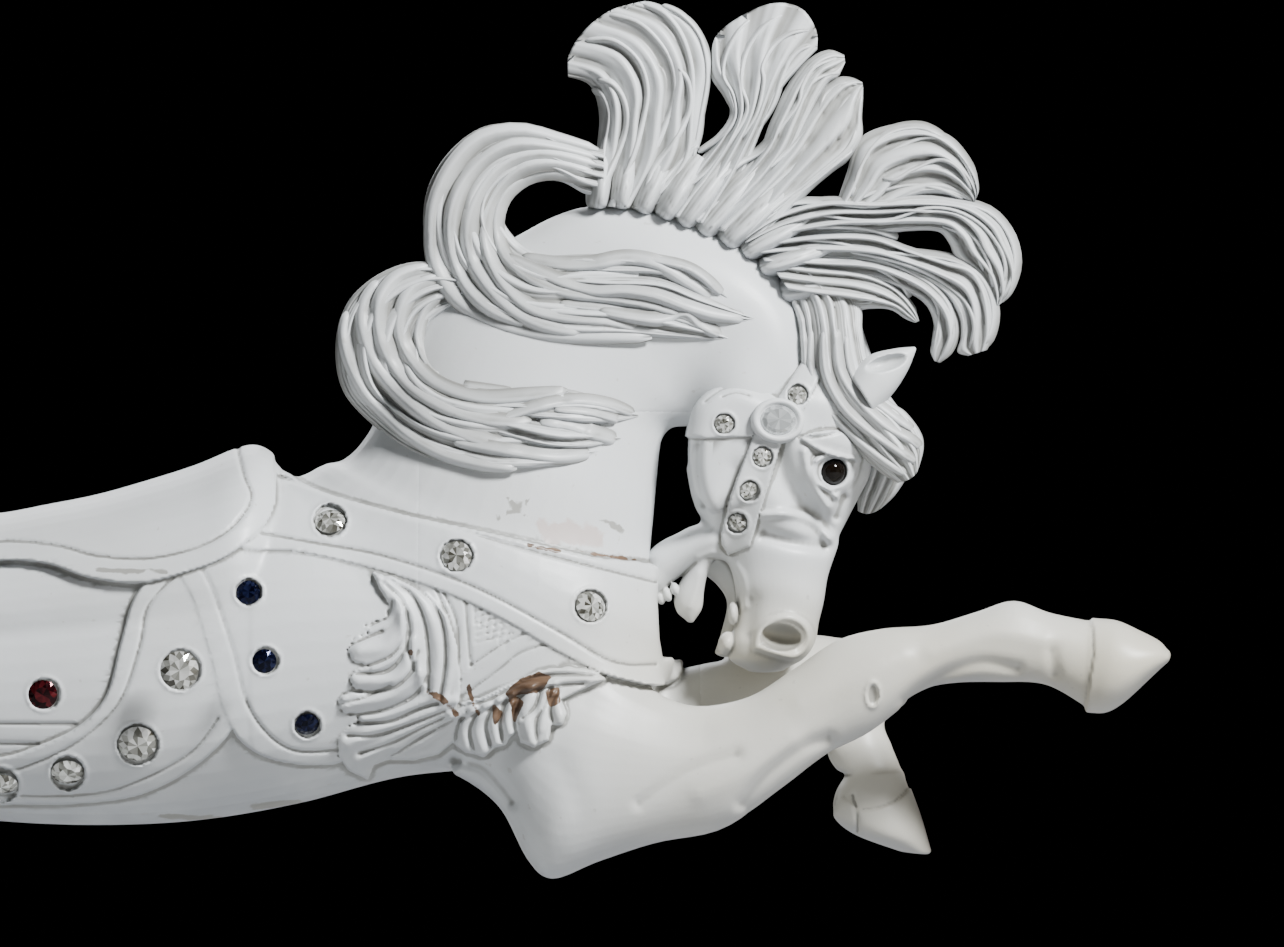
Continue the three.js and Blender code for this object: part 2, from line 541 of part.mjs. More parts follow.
// A mesh's geometry, or another one in its place, as a solid where the mesh stands.
const placed = (mesh, geometry = mesh.geometry) => solid(geometry.clone().applyMatrix4(mesh.matrixWorld));

// Where the surface is struck at a point of the side view, and which way it faces there.
function seatAt([x, drop], finder, reach) {
  const hit = finder(x, drop);
  const out = new THREE.Vector3();
  for (const [dx, dz] of [[0, 0], [reach, 0], [-reach, 0], [0, reach], [0, -reach]]) {
    const near = finder(x + dx, drop + dz);
    if (near) out.add(near.face.normal.y > 0 ? near.face.normal.clone().negate() : near.face.normal);
  }
  return { place: hit.point.clone(), out: out.normalize() };
}

const jewels = [];
const settings = [];
for (const { name, at, radius, finish } of JEWELS) {
  at.forEach((point, i) => {
    const { place, out } = seatAt(point, findDressed, radius * 0.6);
    const sides = radius > 10 ? 8 : 6;
    const jewel = turnedOut(place, out, `${name}_${i + 1}`, stone(radius, sides), finish);
    jewels.push(jewel);
    settings.push(placed(jewel, socket(radius, sides)));
  });
}

// The boss stands on the crossing of the straps and holds the largest bridle stone.
const bossSeat = seatAt(BOSS.at, findDressed, BOSS.radius * 0.6);
const bossDisc = turnedOut(bossSeat.place, bossSeat.out, "boss",
  new THREE.CylinderGeometry(BOSS.radius - 2, BOSS.radius, 14, 12).rotateX(Math.PI / 2), PAINT);
const bossFace = bossSeat.place.clone().addScaledVector(bossSeat.out, 7);
const bossJewel = turnedOut(bossFace, bossSeat.out, "boss_jewel", stone(BOSS.jewel, 10), CLEAR_GLASS);
settings.push(placed(bossJewel, socket(BOSS.jewel, 10)));

// Each eye is a glass ball let into its socket.
function eyeBall(name, sign) {
  const mesh = new THREE.Mesh(new THREE.SphereGeometry(EYE.radius, 10, 6), EYE_GLASS);
  mesh.name = name;
  const surface = findDressed(...EYE.at).point.y;
  const middle = HEAD.side[0];
  mesh.position.set(EYE.at[0], middle + sign * (middle - surface - EYE.radius * 0.55), heightOf(EYE.at[1]));
  mesh.updateMatrixWorld(true);
  return mesh;
}
const eyes = [eyeBall("right_eye", -1), eyeBall("left_eye", 1)];
const eyeSockets = eyes.map((mesh) => placed(mesh, new THREE.SphereGeometry(EYE.radius + 1, 10, 6)));

// Nostrils, hollowed into both sides of the muzzle
const nostrils = [-1, 1].map((sign) => {
  const hollow = new THREE.SphereGeometry(1, 8, 6).scale(25, 14, 14).rotateY(0.35)
    .translate(783, HEAD.side[0] + sign * 40, heightOf(636));
  return solid(hollow);
});

const horseSolid = [...settings, ...eyeSockets, ...nostrils].reduce(
  (left, hole) => left.subtract(hole),
  join([dressed, hair, leaves, placed(bossDisc)]),
);

function meshOf(name, geometry, finish) {
  const mesh = new THREE.Mesh(geometry, finish);
  mesh.name = name;
  return mesh;
}

// The base is a plain board with rounded corners and a bevelled edge.
function baseGeometry() {
  const [x, y, r] = [BASE_LENGTH / 2 - BASE_BEVEL, BASE_WIDTH / 2 - BASE_BEVEL, BASE_CORNER];
  const shape = new THREE.Shape();
  shape.moveTo(-x + r, -y);
  for (const [cx, cy, start] of [[x - r, -y + r, -90], [x - r, y - r, 0], [-x + r, y - r, 90], [-x + r, -y + r, 180]]) {
    const from = THREE.MathUtils.degToRad(start);
    shape.absarc(cx, cy, r, from, from + Math.PI / 2, false);
  }
  return new THREE.ExtrudeGeometry(shape, {
    depth: BASE_HEIGHT - FIT_GAP - 2 * BASE_BEVEL, bevelThickness: BASE_BEVEL, bevelSize: BASE_BEVEL,
    bevelSegments: 1, curveSegments: 3,
  }).translate(0, 0, BASE_BEVEL);
}

const carousel_horse = new THREE.Group();
carousel_horse.add(
  meshOf("carved_horse", geometryOf(horseSolid), PAINT),
  meshOf("base", baseGeometry(), PAINT),
  bossJewel,
  ...jewels,
  ...eyes,
);

export default carousel_horse;
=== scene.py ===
import math

import bmesh
import bpy
import numpy as np
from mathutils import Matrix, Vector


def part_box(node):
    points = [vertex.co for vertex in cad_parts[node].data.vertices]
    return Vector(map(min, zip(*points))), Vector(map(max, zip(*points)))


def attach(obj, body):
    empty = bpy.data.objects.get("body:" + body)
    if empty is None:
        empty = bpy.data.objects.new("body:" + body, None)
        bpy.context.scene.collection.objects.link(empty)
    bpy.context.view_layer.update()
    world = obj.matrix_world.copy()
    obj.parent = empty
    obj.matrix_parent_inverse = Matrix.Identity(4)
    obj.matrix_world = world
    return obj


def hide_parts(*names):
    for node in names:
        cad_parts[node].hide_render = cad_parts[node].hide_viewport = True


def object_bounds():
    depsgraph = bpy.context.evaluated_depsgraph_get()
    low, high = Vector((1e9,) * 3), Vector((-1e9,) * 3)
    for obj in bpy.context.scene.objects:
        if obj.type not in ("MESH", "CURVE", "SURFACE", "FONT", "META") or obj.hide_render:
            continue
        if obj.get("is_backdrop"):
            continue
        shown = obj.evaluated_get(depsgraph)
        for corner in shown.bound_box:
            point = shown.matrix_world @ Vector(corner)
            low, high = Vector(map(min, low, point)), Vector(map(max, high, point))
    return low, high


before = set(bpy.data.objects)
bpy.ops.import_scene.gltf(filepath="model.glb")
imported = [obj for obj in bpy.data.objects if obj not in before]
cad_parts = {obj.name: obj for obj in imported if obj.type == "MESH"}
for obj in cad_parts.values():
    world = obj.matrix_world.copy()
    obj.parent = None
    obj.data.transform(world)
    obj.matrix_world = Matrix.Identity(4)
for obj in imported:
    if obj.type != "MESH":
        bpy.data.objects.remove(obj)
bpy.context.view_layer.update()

import openvdb as vdb
from mathutils import Matrix, Vector


# The body: trunk, neck and legs of glued-up basswood, carved in the round until one form flows into the
# next, then primed and painted white. Outlines are [x, drop] in millimetres, with the drop measured down
# from the top of the mane.

MM = 0.001
MANE_TOP = 1240
CAP_STEPS = (0.25, 0.5, 0.7, 0.85, 0.95, 0.995)


def smooth_line(points, shares):
    """Points along a smooth line through the given ones, at shares from 0 to 1 of its length in points."""
    given = np.asarray(points, float).reshape(len(points), -1)
    if len(given) == 1:
        return np.repeat(given, len(shares), 0)
    place = np.clip(shares, 0, 1) * (len(given) - 1)
    start = np.minimum(place.astype(int), len(given) - 2)
    part = (place - start)[:, None]
    before = given[np.maximum(start - 1, 0)]
    here = given[start]
    there = given[start + 1]
    beyond = given[np.minimum(start + 2, len(given) - 1)]
    leave = (there - before) / 2
    arrive = (beyond - here) / 2
    return ((2 * here - 2 * there + leave + arrive) * part**3
            + (3 * there - 3 * here - 2 * leave - arrive) * part**2 + leave * part + here)


def rounded_form(front, back, width, side=(0,), ends=(0, 0), rings=72, around=48):
    """Corners and faces of a form between two edges of the side view, with its half widths across."""
    shares = np.linspace(0, 1, rings)
    near = smooth_line(front, shares)
    far = smooth_line(back, shares)
    wide = smooth_line(width, shares)[:, 0]
    lean = smooth_line(side, shares)[:, 0]
    middle = (near + far) / 2
    half = (near - far) / 2
    turn = np.linspace(0, 2 * math.pi, around, endpoint=False)

    def ring(i, scale, push):
        """One section of the form, drawn in by scale and moved by push for an end."""
        x = middle[i, 0] + push[0] + half[i, 0] * np.cos(turn) * scale
        drop = middle[i, 1] + push[1] + half[i, 1] * np.cos(turn) * scale
        return np.stack([x, lean[i] + wide[i] * np.sin(turn) * scale, MANE_TOP - drop], 1)

    rows = [ring(i, 1, (0, 0)) for i in range(rings)]
    for end, at, inner in ((0, 0, 1), (1, rings - 1, rings - 2)):
        way = middle[at] - middle[inner]
        way = way / np.linalg.norm(way)
        for step in CAP_STEPS:
            cap = ring(at, math.sqrt(1 - step * step), way * max(ends[end], 1) * step)
            rows = [cap, *rows] if end == 0 else [*rows, cap]
    corners = np.concatenate(rows)
    count = len(rows)
    grid = np.arange(count * around).reshape(count, around)
    nxt = np.roll(grid, -1, 1)
    quads = np.stack([grid[:-1], nxt[:-1], nxt[1:], grid[1:]], -1).reshape(-1, 4)
    corners = np.vstack([corners, rows[0].mean(0), rows[-1].mean(0)])
    first = np.stack([nxt[0], grid[0], np.full(around, len(corners) - 2)], 1)
    last = np.stack([grid[-1], nxt[-1], np.full(around, len(corners) - 1)], 1)
    return corners, quads, np.vstack([first, last])


def block(low, high, voxel):
    """A block of space, in millimetres, divided into cubes."""
    low = np.array(low, float)
    shape = tuple(int(n) for n in np.ceil((np.array(high) - low) / voxel) + 1)
    return {"low": low, "voxel": voxel, "shape": shape}


def far_away(space, reach):
    """A field with nothing in it: every place lies reach millimetres outside."""
    return np.full(space["shape"], reach, np.float32)


def blend_in(field, space, form, reach, band):
    """Joins a form to a field of distances that reach band far, flowing into what is there over reach."""
    corners, quads, tris = form
    voxel = space["voxel"]
    low = np.floor((corners.min(0) - band - space["low"]) / voxel).astype(int)
    high = np.ceil((corners.max(0) + band - space["low"]) / voxel).astype(int)
    low = np.maximum(low, 0)
    high = np.minimum(high, np.array(space["shape"]) - 1)
    grid = vdb.FloatGrid.createLevelSetFromPolygons(
        ((corners - space["low"]) / voxel).astype(np.float32), triangles=tris.astype(np.uint32),
        quads=quads.astype(np.uint32), transform=vdb.createLinearTransform(1.0), halfWidth=band / voxel)
    there = np.full(tuple(high - low + 1), band / voxel, np.float32)
    grid.copyToArray(there, ijk=tuple(int(n) for n in low))
    there *= voxel
    part = tuple(slice(a, b + 1) for a, b in zip(low, high))
    here = field[part]
    mix = np.clip(0.5 + 0.5 * (there - here) / reach, 0, 1)
    field[part] = there * (1 - mix) + here * mix - reach * mix * (1 - mix)


TRUNK = dict(
    front=[[-450, 655], [-428, 600], [-375, 560], [-300, 538], [-200, 535], [-100, 541], [0, 541],
           [100, 524], [200, 498], [300, 481], [400, 500], [500, 520], [590, 540], [635, 575]],
    back=[[-448, 740], [-420, 788], [-375, 798], [-300, 790], [-200, 792], [-100, 809], [0, 821],
          [100, 825], [200, 820], [300, 803], [400, 777], [500, 766], [590, 745], [635, 700]],
    width=[52, 88, 118, 138, 142, 146, 150, 152, 149, 142, 132, 122, 105, 72], ends=(16, 16))
NECK = dict(
    front=[[300, 560], [322, 478], [345, 462], [372, 427], [386, 385], [403, 340], [432, 297], [472, 262],
           [517, 236], [555, 216], [592, 206], [642, 208], [692, 221], [737, 242], [772, 268], [797, 302],
           [808, 340]],
    back=[[560, 760], [652, 672], [650, 600], [654, 530], [658, 475], [662, 442], [668, 430], [676, 425],
          [686, 421], [696, 415], [706, 408], [716, 402], [726, 398], [738, 395], [750, 395], [764, 400],
          [775, 410]],
    width=[100, 118, 112, 102, 92, 84, 78, 73, 68, 64, 62, 60, 58, 57, 55, 52, 45], ends=(0, 10))
NEAR_FORELEG = dict(
    front=[[500, 640], [530, 640], [560, 640], [600, 655], [640, 682], [690, 704], [745, 697], [790, 670],
           [835, 640], [880, 628], [930, 624], [975, 611], [1012, 600], [1048, 612], [1092, 621]],
    back=[[458, 772], [500, 806], [528, 858], [553, 877], [598, 860], [656, 841], [722, 827], [780, 787],
          [825, 753], [868, 731], [912, 698], [945, 683], [1000, 681], [1045, 684], [1087, 708]],
    width=[36, 52, 60, 64, 60, 56, 52, 46, 42, 41, 33, 30, 31, 31, 37], side=[-62, -74, -80, -84, -86, -86])
NEAR_FORE_HOOF = dict(
    front=[[1088, 620], [1113, 622], [1136, 632], [1155, 642], [1163, 651]],
    back=[[1083, 708], [1102, 709], [1120, 699], [1145, 676], [1161, 661]],
    width=[37, 44, 43, 34, 22], side=[-86], ends=(0, 3))
FAR_FOREARM = dict(
    front=[[520, 640], [590, 655], [655, 671], [692, 667], [735, 652], [800, 636], [850, 640], [905, 646]],
    back=[[470, 770], [540, 800], [620, 790], [690, 768], [750, 745], [790, 730], [850, 710], [900, 706]],
    width=[30, 52, 56, 54, 48, 42, 38, 36], side=[66, 72, 78, 82, 84, 84], ends=(8, 10))
FAR_CANNON = dict(
    front=[[845, 655], [842, 690], [838, 720], [828, 750], [836, 769], [848, 776]],
    back=[[915, 655], [908, 690], [886, 722], [893, 747], [899, 762], [905, 777]],
    width=[36, 32, 25, 29, 28, 29], side=[84, 80, 74, 68], ends=(10, 0))
FAR_FORE_HOOF = dict(
    front=[[848, 774], [836, 795], [836, 816], [857, 834], [900, 850]],
    back=[[904, 773], [911, 793], [919, 815], [926, 838], [930, 853]],
    width=[30, 38, 42, 40, 22], side=[68], ends=(0, 2))
HIND_FRONT = [[-230, 590], [-215, 690], [-212, 765], [-228, 822], [-264, 870], [-306, 915], [-338, 955],
              [-352, 992], [-352, 1035], [-345, 1080], [-336, 1118], [-318, 1145], [-300, 1164],
              [-286, 1190]]
HIND_BACK = [[-440, 640], [-452, 720], [-440, 800], [-405, 860], [-392, 905], [-404, 938], [-432, 962],
             [-428, 990], [-408, 1030], [-396, 1085], [-397, 1130], [-374, 1153], [-364, 1168],
             [-362, 1190]]
HIND_WIDTH = [46, 66, 68, 56, 45, 36, 31, 30, 25, 23, 27, 27, 36, 42]
STRIDE_BEND = 0.8
HIP_INSET = 0.82


def hind_leg(side, stride):
    """A hind leg that swings from the hip until its hoof stands at stride from the near leg's."""
    last = len(HIND_FRONT) - 1

    def swing(points):
        """An edge that goes further the lower it is on the leg."""
        return [[x + stride * (i / last) ** STRIDE_BEND, drop] for i, (x, drop) in enumerate(points)]

    return dict(front=swing(HIND_FRONT), back=swing(HIND_BACK), width=HIND_WIDTH,
                side=[side * HIP_INSET, side, side, side], ends=(0, 1))


SADDLE_FOOT = 700
SADDLE_TOP = [[-204, 545], [-196, 500], [-176, 479], [-150, 486], [-110, 510], [-50, 526], [0, 525],
              [50, 516], [100, 506], [150, 492], [200, 476], [236, 461], [256, 457], [272, 468]]
SADDLE_BLOCK = dict(
    front=SADDLE_TOP, back=[[x, SADDLE_FOOT] for x, _ in SADDLE_TOP],
    width=[60, 110, 122, 130, 138, 142, 144, 145, 146, 145, 144, 141, 130, 112])
BODY_VOXEL = 4
BODY_BAND = 44
HIND_SIDE = 86
LEFT_STRIDE = 84
BODY_FORMS = [
    (TRUNK, 1), (NECK, 46), (NEAR_FORELEG, 30), (FAR_FOREARM, 26), (FAR_CANNON, 16),
    (hind_leg(-HIND_SIDE, 0), 34), (hind_leg(HIND_SIDE, LEFT_STRIDE), 34), (NEAR_FORE_HOOF, 3),
    (FAR_FORE_HOOF, 3), (SADDLE_BLOCK, 5)]
body_space = block((-500, -184, 36), (1184, 184, 1060), BODY_VOXEL)
body_field = far_away(body_space, BODY_BAND)
for form, reach in BODY_FORMS:
    blend_in(body_field, body_space, rounded_form(**form), reach, BODY_BAND)


# Low relief: saddle, straps, cloth border, leaf scroll and lines are carved from the same wood and painted
# with it. Relief is a height in millimetres over the side view, so each outline below is the edge of a
# raised area or the run of a groove.

POINTS_PER_SPAN = 6
FAR_OFF = 1e3


def side_places(space):
    """The x and drop of every column of a block seen from the side."""
    x = space["low"][0] + np.arange(space["shape"][0]) * space["voxel"]
    drop = MANE_TOP - (space["low"][2] + np.arange(space["shape"][2]) * space["voxel"])
    return np.meshgrid(x, drop, indexing="ij")


def line_distance(places, points, margin=60, smooth=True):
    """Distance from each place to a line, read only within margin of it."""
    x, drop = places
    run = np.asarray(points, float)
    if smooth and len(run) > 2:
        run = smooth_line(run, np.linspace(0, 1, POINTS_PER_SPAN * (len(run) - 1) + 1))
    distance = np.full(x.shape, FAR_OFF)
    for a, b in zip(run[:-1], run[1:]):
        low = np.minimum(a, b) - margin
        high = np.maximum(a, b) + margin
        rows = np.flatnonzero((x[:, 0] > low[0]) & (x[:, 0] < high[0]))
        cols = np.flatnonzero((drop[0] > low[1]) & (drop[0] < high[1]))
        if not len(rows) or not len(cols):
            continue
        part = (slice(rows[0], rows[-1] + 1), slice(cols[0], cols[-1] + 1))
        way = b - a
        length = max(way @ way, 1e-9)
        t = np.clip(((x[part] - a[0]) * way[0] + (drop[part] - a[1]) * way[1]) / length, 0, 1)
        away = np.hypot(x[part] - a[0] - t * way[0], drop[part] - a[1] - t * way[1])
        distance[part] = np.minimum(away, distance[part])
    return distance


def inside(places, points, smooth=True):
    """Signed distance to a closed outline, negative inside."""
    x, drop = places
    run = np.vstack([points, points[:1]]).astype(float)
    if smooth:
        run = smooth_line(run, np.linspace(0, 1, POINTS_PER_SPAN * (len(run) - 1) + 1))
    distance = line_distance(places, run, smooth=False)
    crossed = np.zeros(x.shape, bool)
    for (ax, ad), (bx, bd) in zip(run[:-1], run[1:]):
        if ad == bd:
            continue
        spans = (ad > drop) != (bd > drop)
        crossed ^= spans & (x < (bx - ax) * (drop - ad) / (bd - ad) + ax)
    return np.where(crossed, -distance, distance)


def raised(distance, height, edge=2.2):
    """Height of a raised area with slightly eased edges."""
    part = np.clip(0.5 - distance / edge, 0, 1)
    return height * part * part * (3 - 2 * part)


def groove(places, points, depth, half=1.7):
    """A round-bottomed cut along a line, as a height below 0."""
    distance = line_distance(places, points, margin=half * 4)
    return -depth * np.exp(-((distance / half) ** 2))


def swell(places, points, height, half):
    """A soft ridge, or with a height below 0 a soft hollow, along a line."""
    distance = line_distance(places, points, margin=half * 3)
    return height * np.exp(-((distance / half) ** 2))


SADDLE_HEIGHT = 12
STRAP_HEIGHT = 9.5
FLAP_HEIGHT = 7
BORDER_HEIGHT = 6
LINE_DEPTH = 2.4
SADDLE = [[272, 430], [278, 496], [264, 529], [230, 556], [192, 571], [145, 582], [95, 577], [52, 563],
          [5, 560], [-55, 573], [-115, 584], [-170, 562], [-204, 505], [-204, 430]]
SADDLE_LINE = [[236, 440], [246, 475], [254, 495], [248, 512], [228, 533], [195, 549], [150, 558],
               [100, 555], [60, 545], [5, 541], [-50, 552], [-110, 561], [-152, 545], [-178, 505],
               [-178, 440]]
STRAP = [[262, 450], [310, 486], [400, 513], [500, 535], [590, 556], [675, 577], [680, 676], [618, 677],
         [560, 651], [500, 616], [440, 589], [375, 568], [300, 551], [215, 540], [215, 470]]
STRAP_LOWER_LINE = [[265, 533], [320, 543], [380, 554], [450, 576], [500, 598], [560, 631], [612, 660],
                    [655, 664]]
STRAP_UPPER_LINE = [[281, 476], [350, 501], [446, 525], [527, 549], [600, 568], [655, 582]]
FLAP = [[250, 520], [186, 560], [200, 606], [217, 665], [226, 705], [246, 741], [285, 760], [345, 761],
        [430, 735], [500, 700], [570, 690], [580, 620], [400, 540]]
FLAP_LINE = [[205, 566], [218, 593], [237, 650], [250, 700], [272, 733], [300, 749], [342, 748]]
BORDER_MIDDLE = -40
REAR_SHORTER = 0.72
BORDER_INNER = [[172, 560], [140, 595], [126, 640], [112, 692], [84, 724], [40, 745], [0, 756]]
BORDER_OUTER = [[210, 560], [245, 640], [250, 700], [212, 753], [148, 791], [75, 802], [0, 802]]
INNER_LINE = [[178, 576], [152, 606], [144, 645], [124, 700], [85, 738], [42, 760], [0, 771]]
OUTER_LINE = [[222, 716], [190, 754], [120, 787], [60, 794], [0, 793]]


def with_rear(points):
    """A border line of the front half and its shorter sweep to the rear, from front to rear."""
    rear = [[BORDER_MIDDLE - (x - BORDER_MIDDLE) * REAR_SHORTER, drop] for x, drop in points]
    return [*points, *rear[::-1]]


CLOTH_BORDER = [*with_rear(BORDER_OUTER), *with_rear(BORDER_INNER)[::-1]]
CLOTH_BARS = [[[-200, 720], [80, 722]], [[-200, 738], [44, 742]]]
LEAF = [
    [374, 571], [382, 589], [391, 603], [389, 617], [378, 620], [368, 624], [370, 632], [357, 636],
    [350, 648], [355, 660], [370, 664], [356, 669], [352, 678], [356, 686], [364, 689], [346, 692],
    [339, 701], [346, 711], [358, 713], [362, 719], [352, 724], [341, 736], [340, 754], [350, 769],
    [368, 778], [376, 764], [392, 758], [415, 759], [439, 753], [454, 741], [466, 750], [485, 755],
    [497, 745], [506, 743], [511, 735], [518, 729], [522, 740], [535, 745], [549, 738], [552, 724],
    [563, 722], [567, 711], [562, 698], [578, 690], [607, 677], [593, 668], [569, 665], [540, 669],
    [511, 682], [482, 696], [460, 702], [462, 678], [459, 644], [449, 614], [430, 592], [396, 576]]
LEAF_RIBS = [
    ([[380, 574], [412, 590], [432, 616], [440, 650], [436, 690]], 3.2, 5),
    ([[392, 576], [420, 584], [444, 608], [453, 650], [446, 694]], 3.0, 5),
    ([[377, 574], [398, 592], [415, 618], [418, 650], [424, 684]], 3.2, 5),
    ([[384, 586], [400, 604], [402, 625], [388, 645], [362, 649]], 4.5, 8),
    ([[404, 612], [406, 636], [396, 656], [376, 666]], 3.0, 5),
    ([[412, 640], [410, 662], [394, 678], [361, 679]], 4.0, 7),
    ([[422, 672], [404, 688], [380, 698], [349, 701]], 4.0, 7),
    ([[434, 696], [404, 708], [382, 715], [366, 717]], 3, 4),
    ([[440, 706], [408, 720], [374, 730], [350, 744]], 4, 7),
    ([[446, 712], [418, 728], [388, 742], [360, 760]], 3.5, 6),
    ([[452, 716], [426, 738], [398, 750]], 2.8, 5),
    ([[446, 700], [478, 697], [512, 678], [546, 668], [596, 672]], 4, 6),
    ([[452, 716], [486, 706], [518, 689], [552, 680], [600, 677]], 3.2, 5),
    ([[474, 706], [464, 724], [467, 744]], 3.5, 6), ([[488, 704], [478, 726], [483, 748]], 3.5, 6),
    ([[500, 698], [494, 720], [497, 740]], 2.8, 4), ([[514, 694], [508, 716], [510, 730]], 2.8, 4),
    ([[532, 690], [526, 712], [532, 737]], 4.5, 7), ([[548, 686], [544, 704], [542, 726]], 3, 5),
    ([[556, 684], [556, 700], [560, 714]], 3, 5)]
LEAF_CUTS = [
    [[386, 576], [412, 592], [425, 616], [430, 650], [430, 688]],
    [[400, 577], [430, 596], [444, 622], [447, 660], [442, 696]],
    [[384, 580], [404, 600], [412, 625], [410, 646], [416, 668]], [[372, 625], [390, 614], [394, 600]],
    [[372, 664], [394, 654], [408, 634], [409, 612]], [[358, 672], [388, 670], [404, 654], [411, 632]],
    [[362, 690], [392, 688], [412, 672], [420, 650]], [[356, 714], [388, 708], [416, 694], [428, 676]],
    [[360, 721], [392, 720], [420, 708], [440, 702]], [[350, 734], [380, 733], [414, 722], [446, 710]],
    [[362, 752], [396, 740], [424, 726], [450, 714]], [[372, 768], [404, 748], [430, 732], [454, 718]],
    [[460, 704], [490, 698], [522, 680], [556, 673], [604, 675]],
    [[462, 718], [494, 706], [526, 692], [560, 684], [584, 682]], [[456, 740], [460, 722], [468, 710]],
    [[475, 750], [471, 728], [481, 706]], [[492, 744], [487, 722], [496, 702]],
    [[504, 740], [501, 718], [508, 698]], [[516, 728], [515, 710], [522, 694]],
    [[524, 716], [536, 704], [540, 690]], [[538, 742], [537, 720], [546, 702], [552, 686]],
    [[554, 722], [551, 706], [558, 688]], [[345, 650], [360, 640], [384, 630]],
    [[343, 702], [366, 696], [392, 684]]]
HATCHES = 6
PANEL_LINES = [[[445, 592], [458, 620], [459, 650], [452, 690]], [[467, 600], [470, 640], [472, 664]],
               [[472, 664], [500, 645], [525, 632]],
               [[455, 700], [470, 690], [500, 668], [520, 652], [548, 642]],
               [[437, 586], [449, 618], [450, 655], [444, 695]]]


def leaf_relief(places, relief):
    """The leaf scroll, ribs and cuts that fan from two stems, and the hatched panel, below the strap."""
    for line in PANEL_LINES:
        relief = relief + groove(places, line, 2.2, 1.6)
    for i in range(HATCHES):
        relief = relief + groove(places, [[477, 611 + i * 6], [484 + i * 6, 607 + i * 5]], 1.6, 1.2)
        relief = relief + groove(places, [[476 + i * 7, 607 + i * 4], [476 + i * 6, 622 + i * 5]], 1.2, 1.2)
    leaf = inside(places, LEAF, smooth=False)
    carved = raised(leaf, 9, 3)
    for line, height, half in LEAF_RIBS:
        carved += swell(places, line, height, half)
    for line in LEAF_CUTS:
        carved += groove(places, line, 3.4, 2.2)
    return np.where(leaf < 3, np.maximum(relief * (leaf > 0), carved), relief)


def dress_relief(places, leaves=True):
    """Height of the saddle, breast strap, front flap, cloth border and leaves over the bare body."""
    flap = inside(places, FLAP)
    relief = raised(flap, FLAP_HEIGHT) + groove(places, FLAP_LINE, LINE_DEPTH) * (flap < 0)
    border = inside(places, CLOTH_BORDER)
    lines = sum(groove(places, with_rear(line), LINE_DEPTH) for line in (INNER_LINE, OUTER_LINE))
    relief = np.maximum(relief, raised(border, BORDER_HEIGHT, 3.4) + lines * (border < 0))
    on_cloth = (relief < 0.5) & (places[1] > 640)
    for bar in CLOTH_BARS:
        relief += groove(places, bar, 2.2) * on_cloth
    if leaves:
        relief = leaf_relief(places, relief)
    strap = inside(places, STRAP)
    lines = sum(groove(places, line, LINE_DEPTH) for line in (STRAP_LOWER_LINE, STRAP_UPPER_LINE))
    band = np.maximum(relief, raised(strap, STRAP_HEIGHT)) + lines * (strap < 0)
    relief = np.where(strap < 3, band, relief)
    saddle = inside(places, SADDLE)
    seat = raised(saddle, SADDLE_HEIGHT, 3) + groove(places, SADDLE_LINE, 2.6) * (saddle < 0)
    return np.where(saddle < 4, np.maximum(relief, seat), relief)


# The skin of trunk and legs: the carved and painted surface, taken in blocks that are as fine as their
# carving asks and meet inside each other. The paint is worn to the wood on the leaves, rubbed to its rose
# undercoat on the chest, and scuffed where hands and harness reach it.


def finer(field, space, low, high, voxel):
    """A part of a field, read smoothly at a finer spacing."""
    part = block(low, high, voxel)
    out = field
    for axis in range(3):
        at = part["low"][axis] + np.arange(part["shape"][axis]) * voxel
        place = (at - space["low"][axis]) / space["voxel"]
        last = space["shape"][axis] - 1
        start = np.clip(np.floor(place).astype(int), 0, last - 1)
        t = (place - start).astype(np.float32)
        t = t.reshape([-1 if i == axis else 1 for i in range(3)])
        taken = [np.take(out, np.clip(start + k, 0, last), axis) for k in (-1, 0, 1, 2)]
        out = (taken[0] * (-t**3 + 2 * t**2 - t) / 2 + taken[1] * (3 * t**3 - 5 * t**2 + 2) / 2
               + taken[2] * (-3 * t**3 + 4 * t**2 + t) / 2 + taken[3] * (t**3 - t**2) / 2)
    return out.astype(np.float32), part


def skin_of(field, space):
    """The surface where a field is zero, as corners in millimetres and faces of four."""
    grid = vdb.FloatGrid(float(abs(field).max()))
    grid.copyFromArray(np.ascontiguousarray(field))
    corners, quads = grid.convertToQuads(isovalue=0.0)
    corners = corners.astype(float) * space["voxel"] + space["low"]
    return corners, quads.tolist()


def mesh_piece(name, corners, faces, attributes):
    """A smooth shaded piece from corners in millimetres, faces as lists, and a value per corner."""
    mesh = bpy.data.meshes.new(name)
    mesh.from_pydata((corners * MM).tolist(), [], faces)
    for key, value in attributes.items():
        layer = mesh.attributes.new(key, "FLOAT", "POINT")
        layer.data.foreach_set("value", np.ascontiguousarray(value, np.float32))
    mesh.update()
    piece = bpy.data.objects.new(name, mesh)
    bpy.context.scene.collection.objects.link(piece)
    mesh.polygons.foreach_set("use_smooth", np.ones(len(mesh.polygons), bool))
    return piece


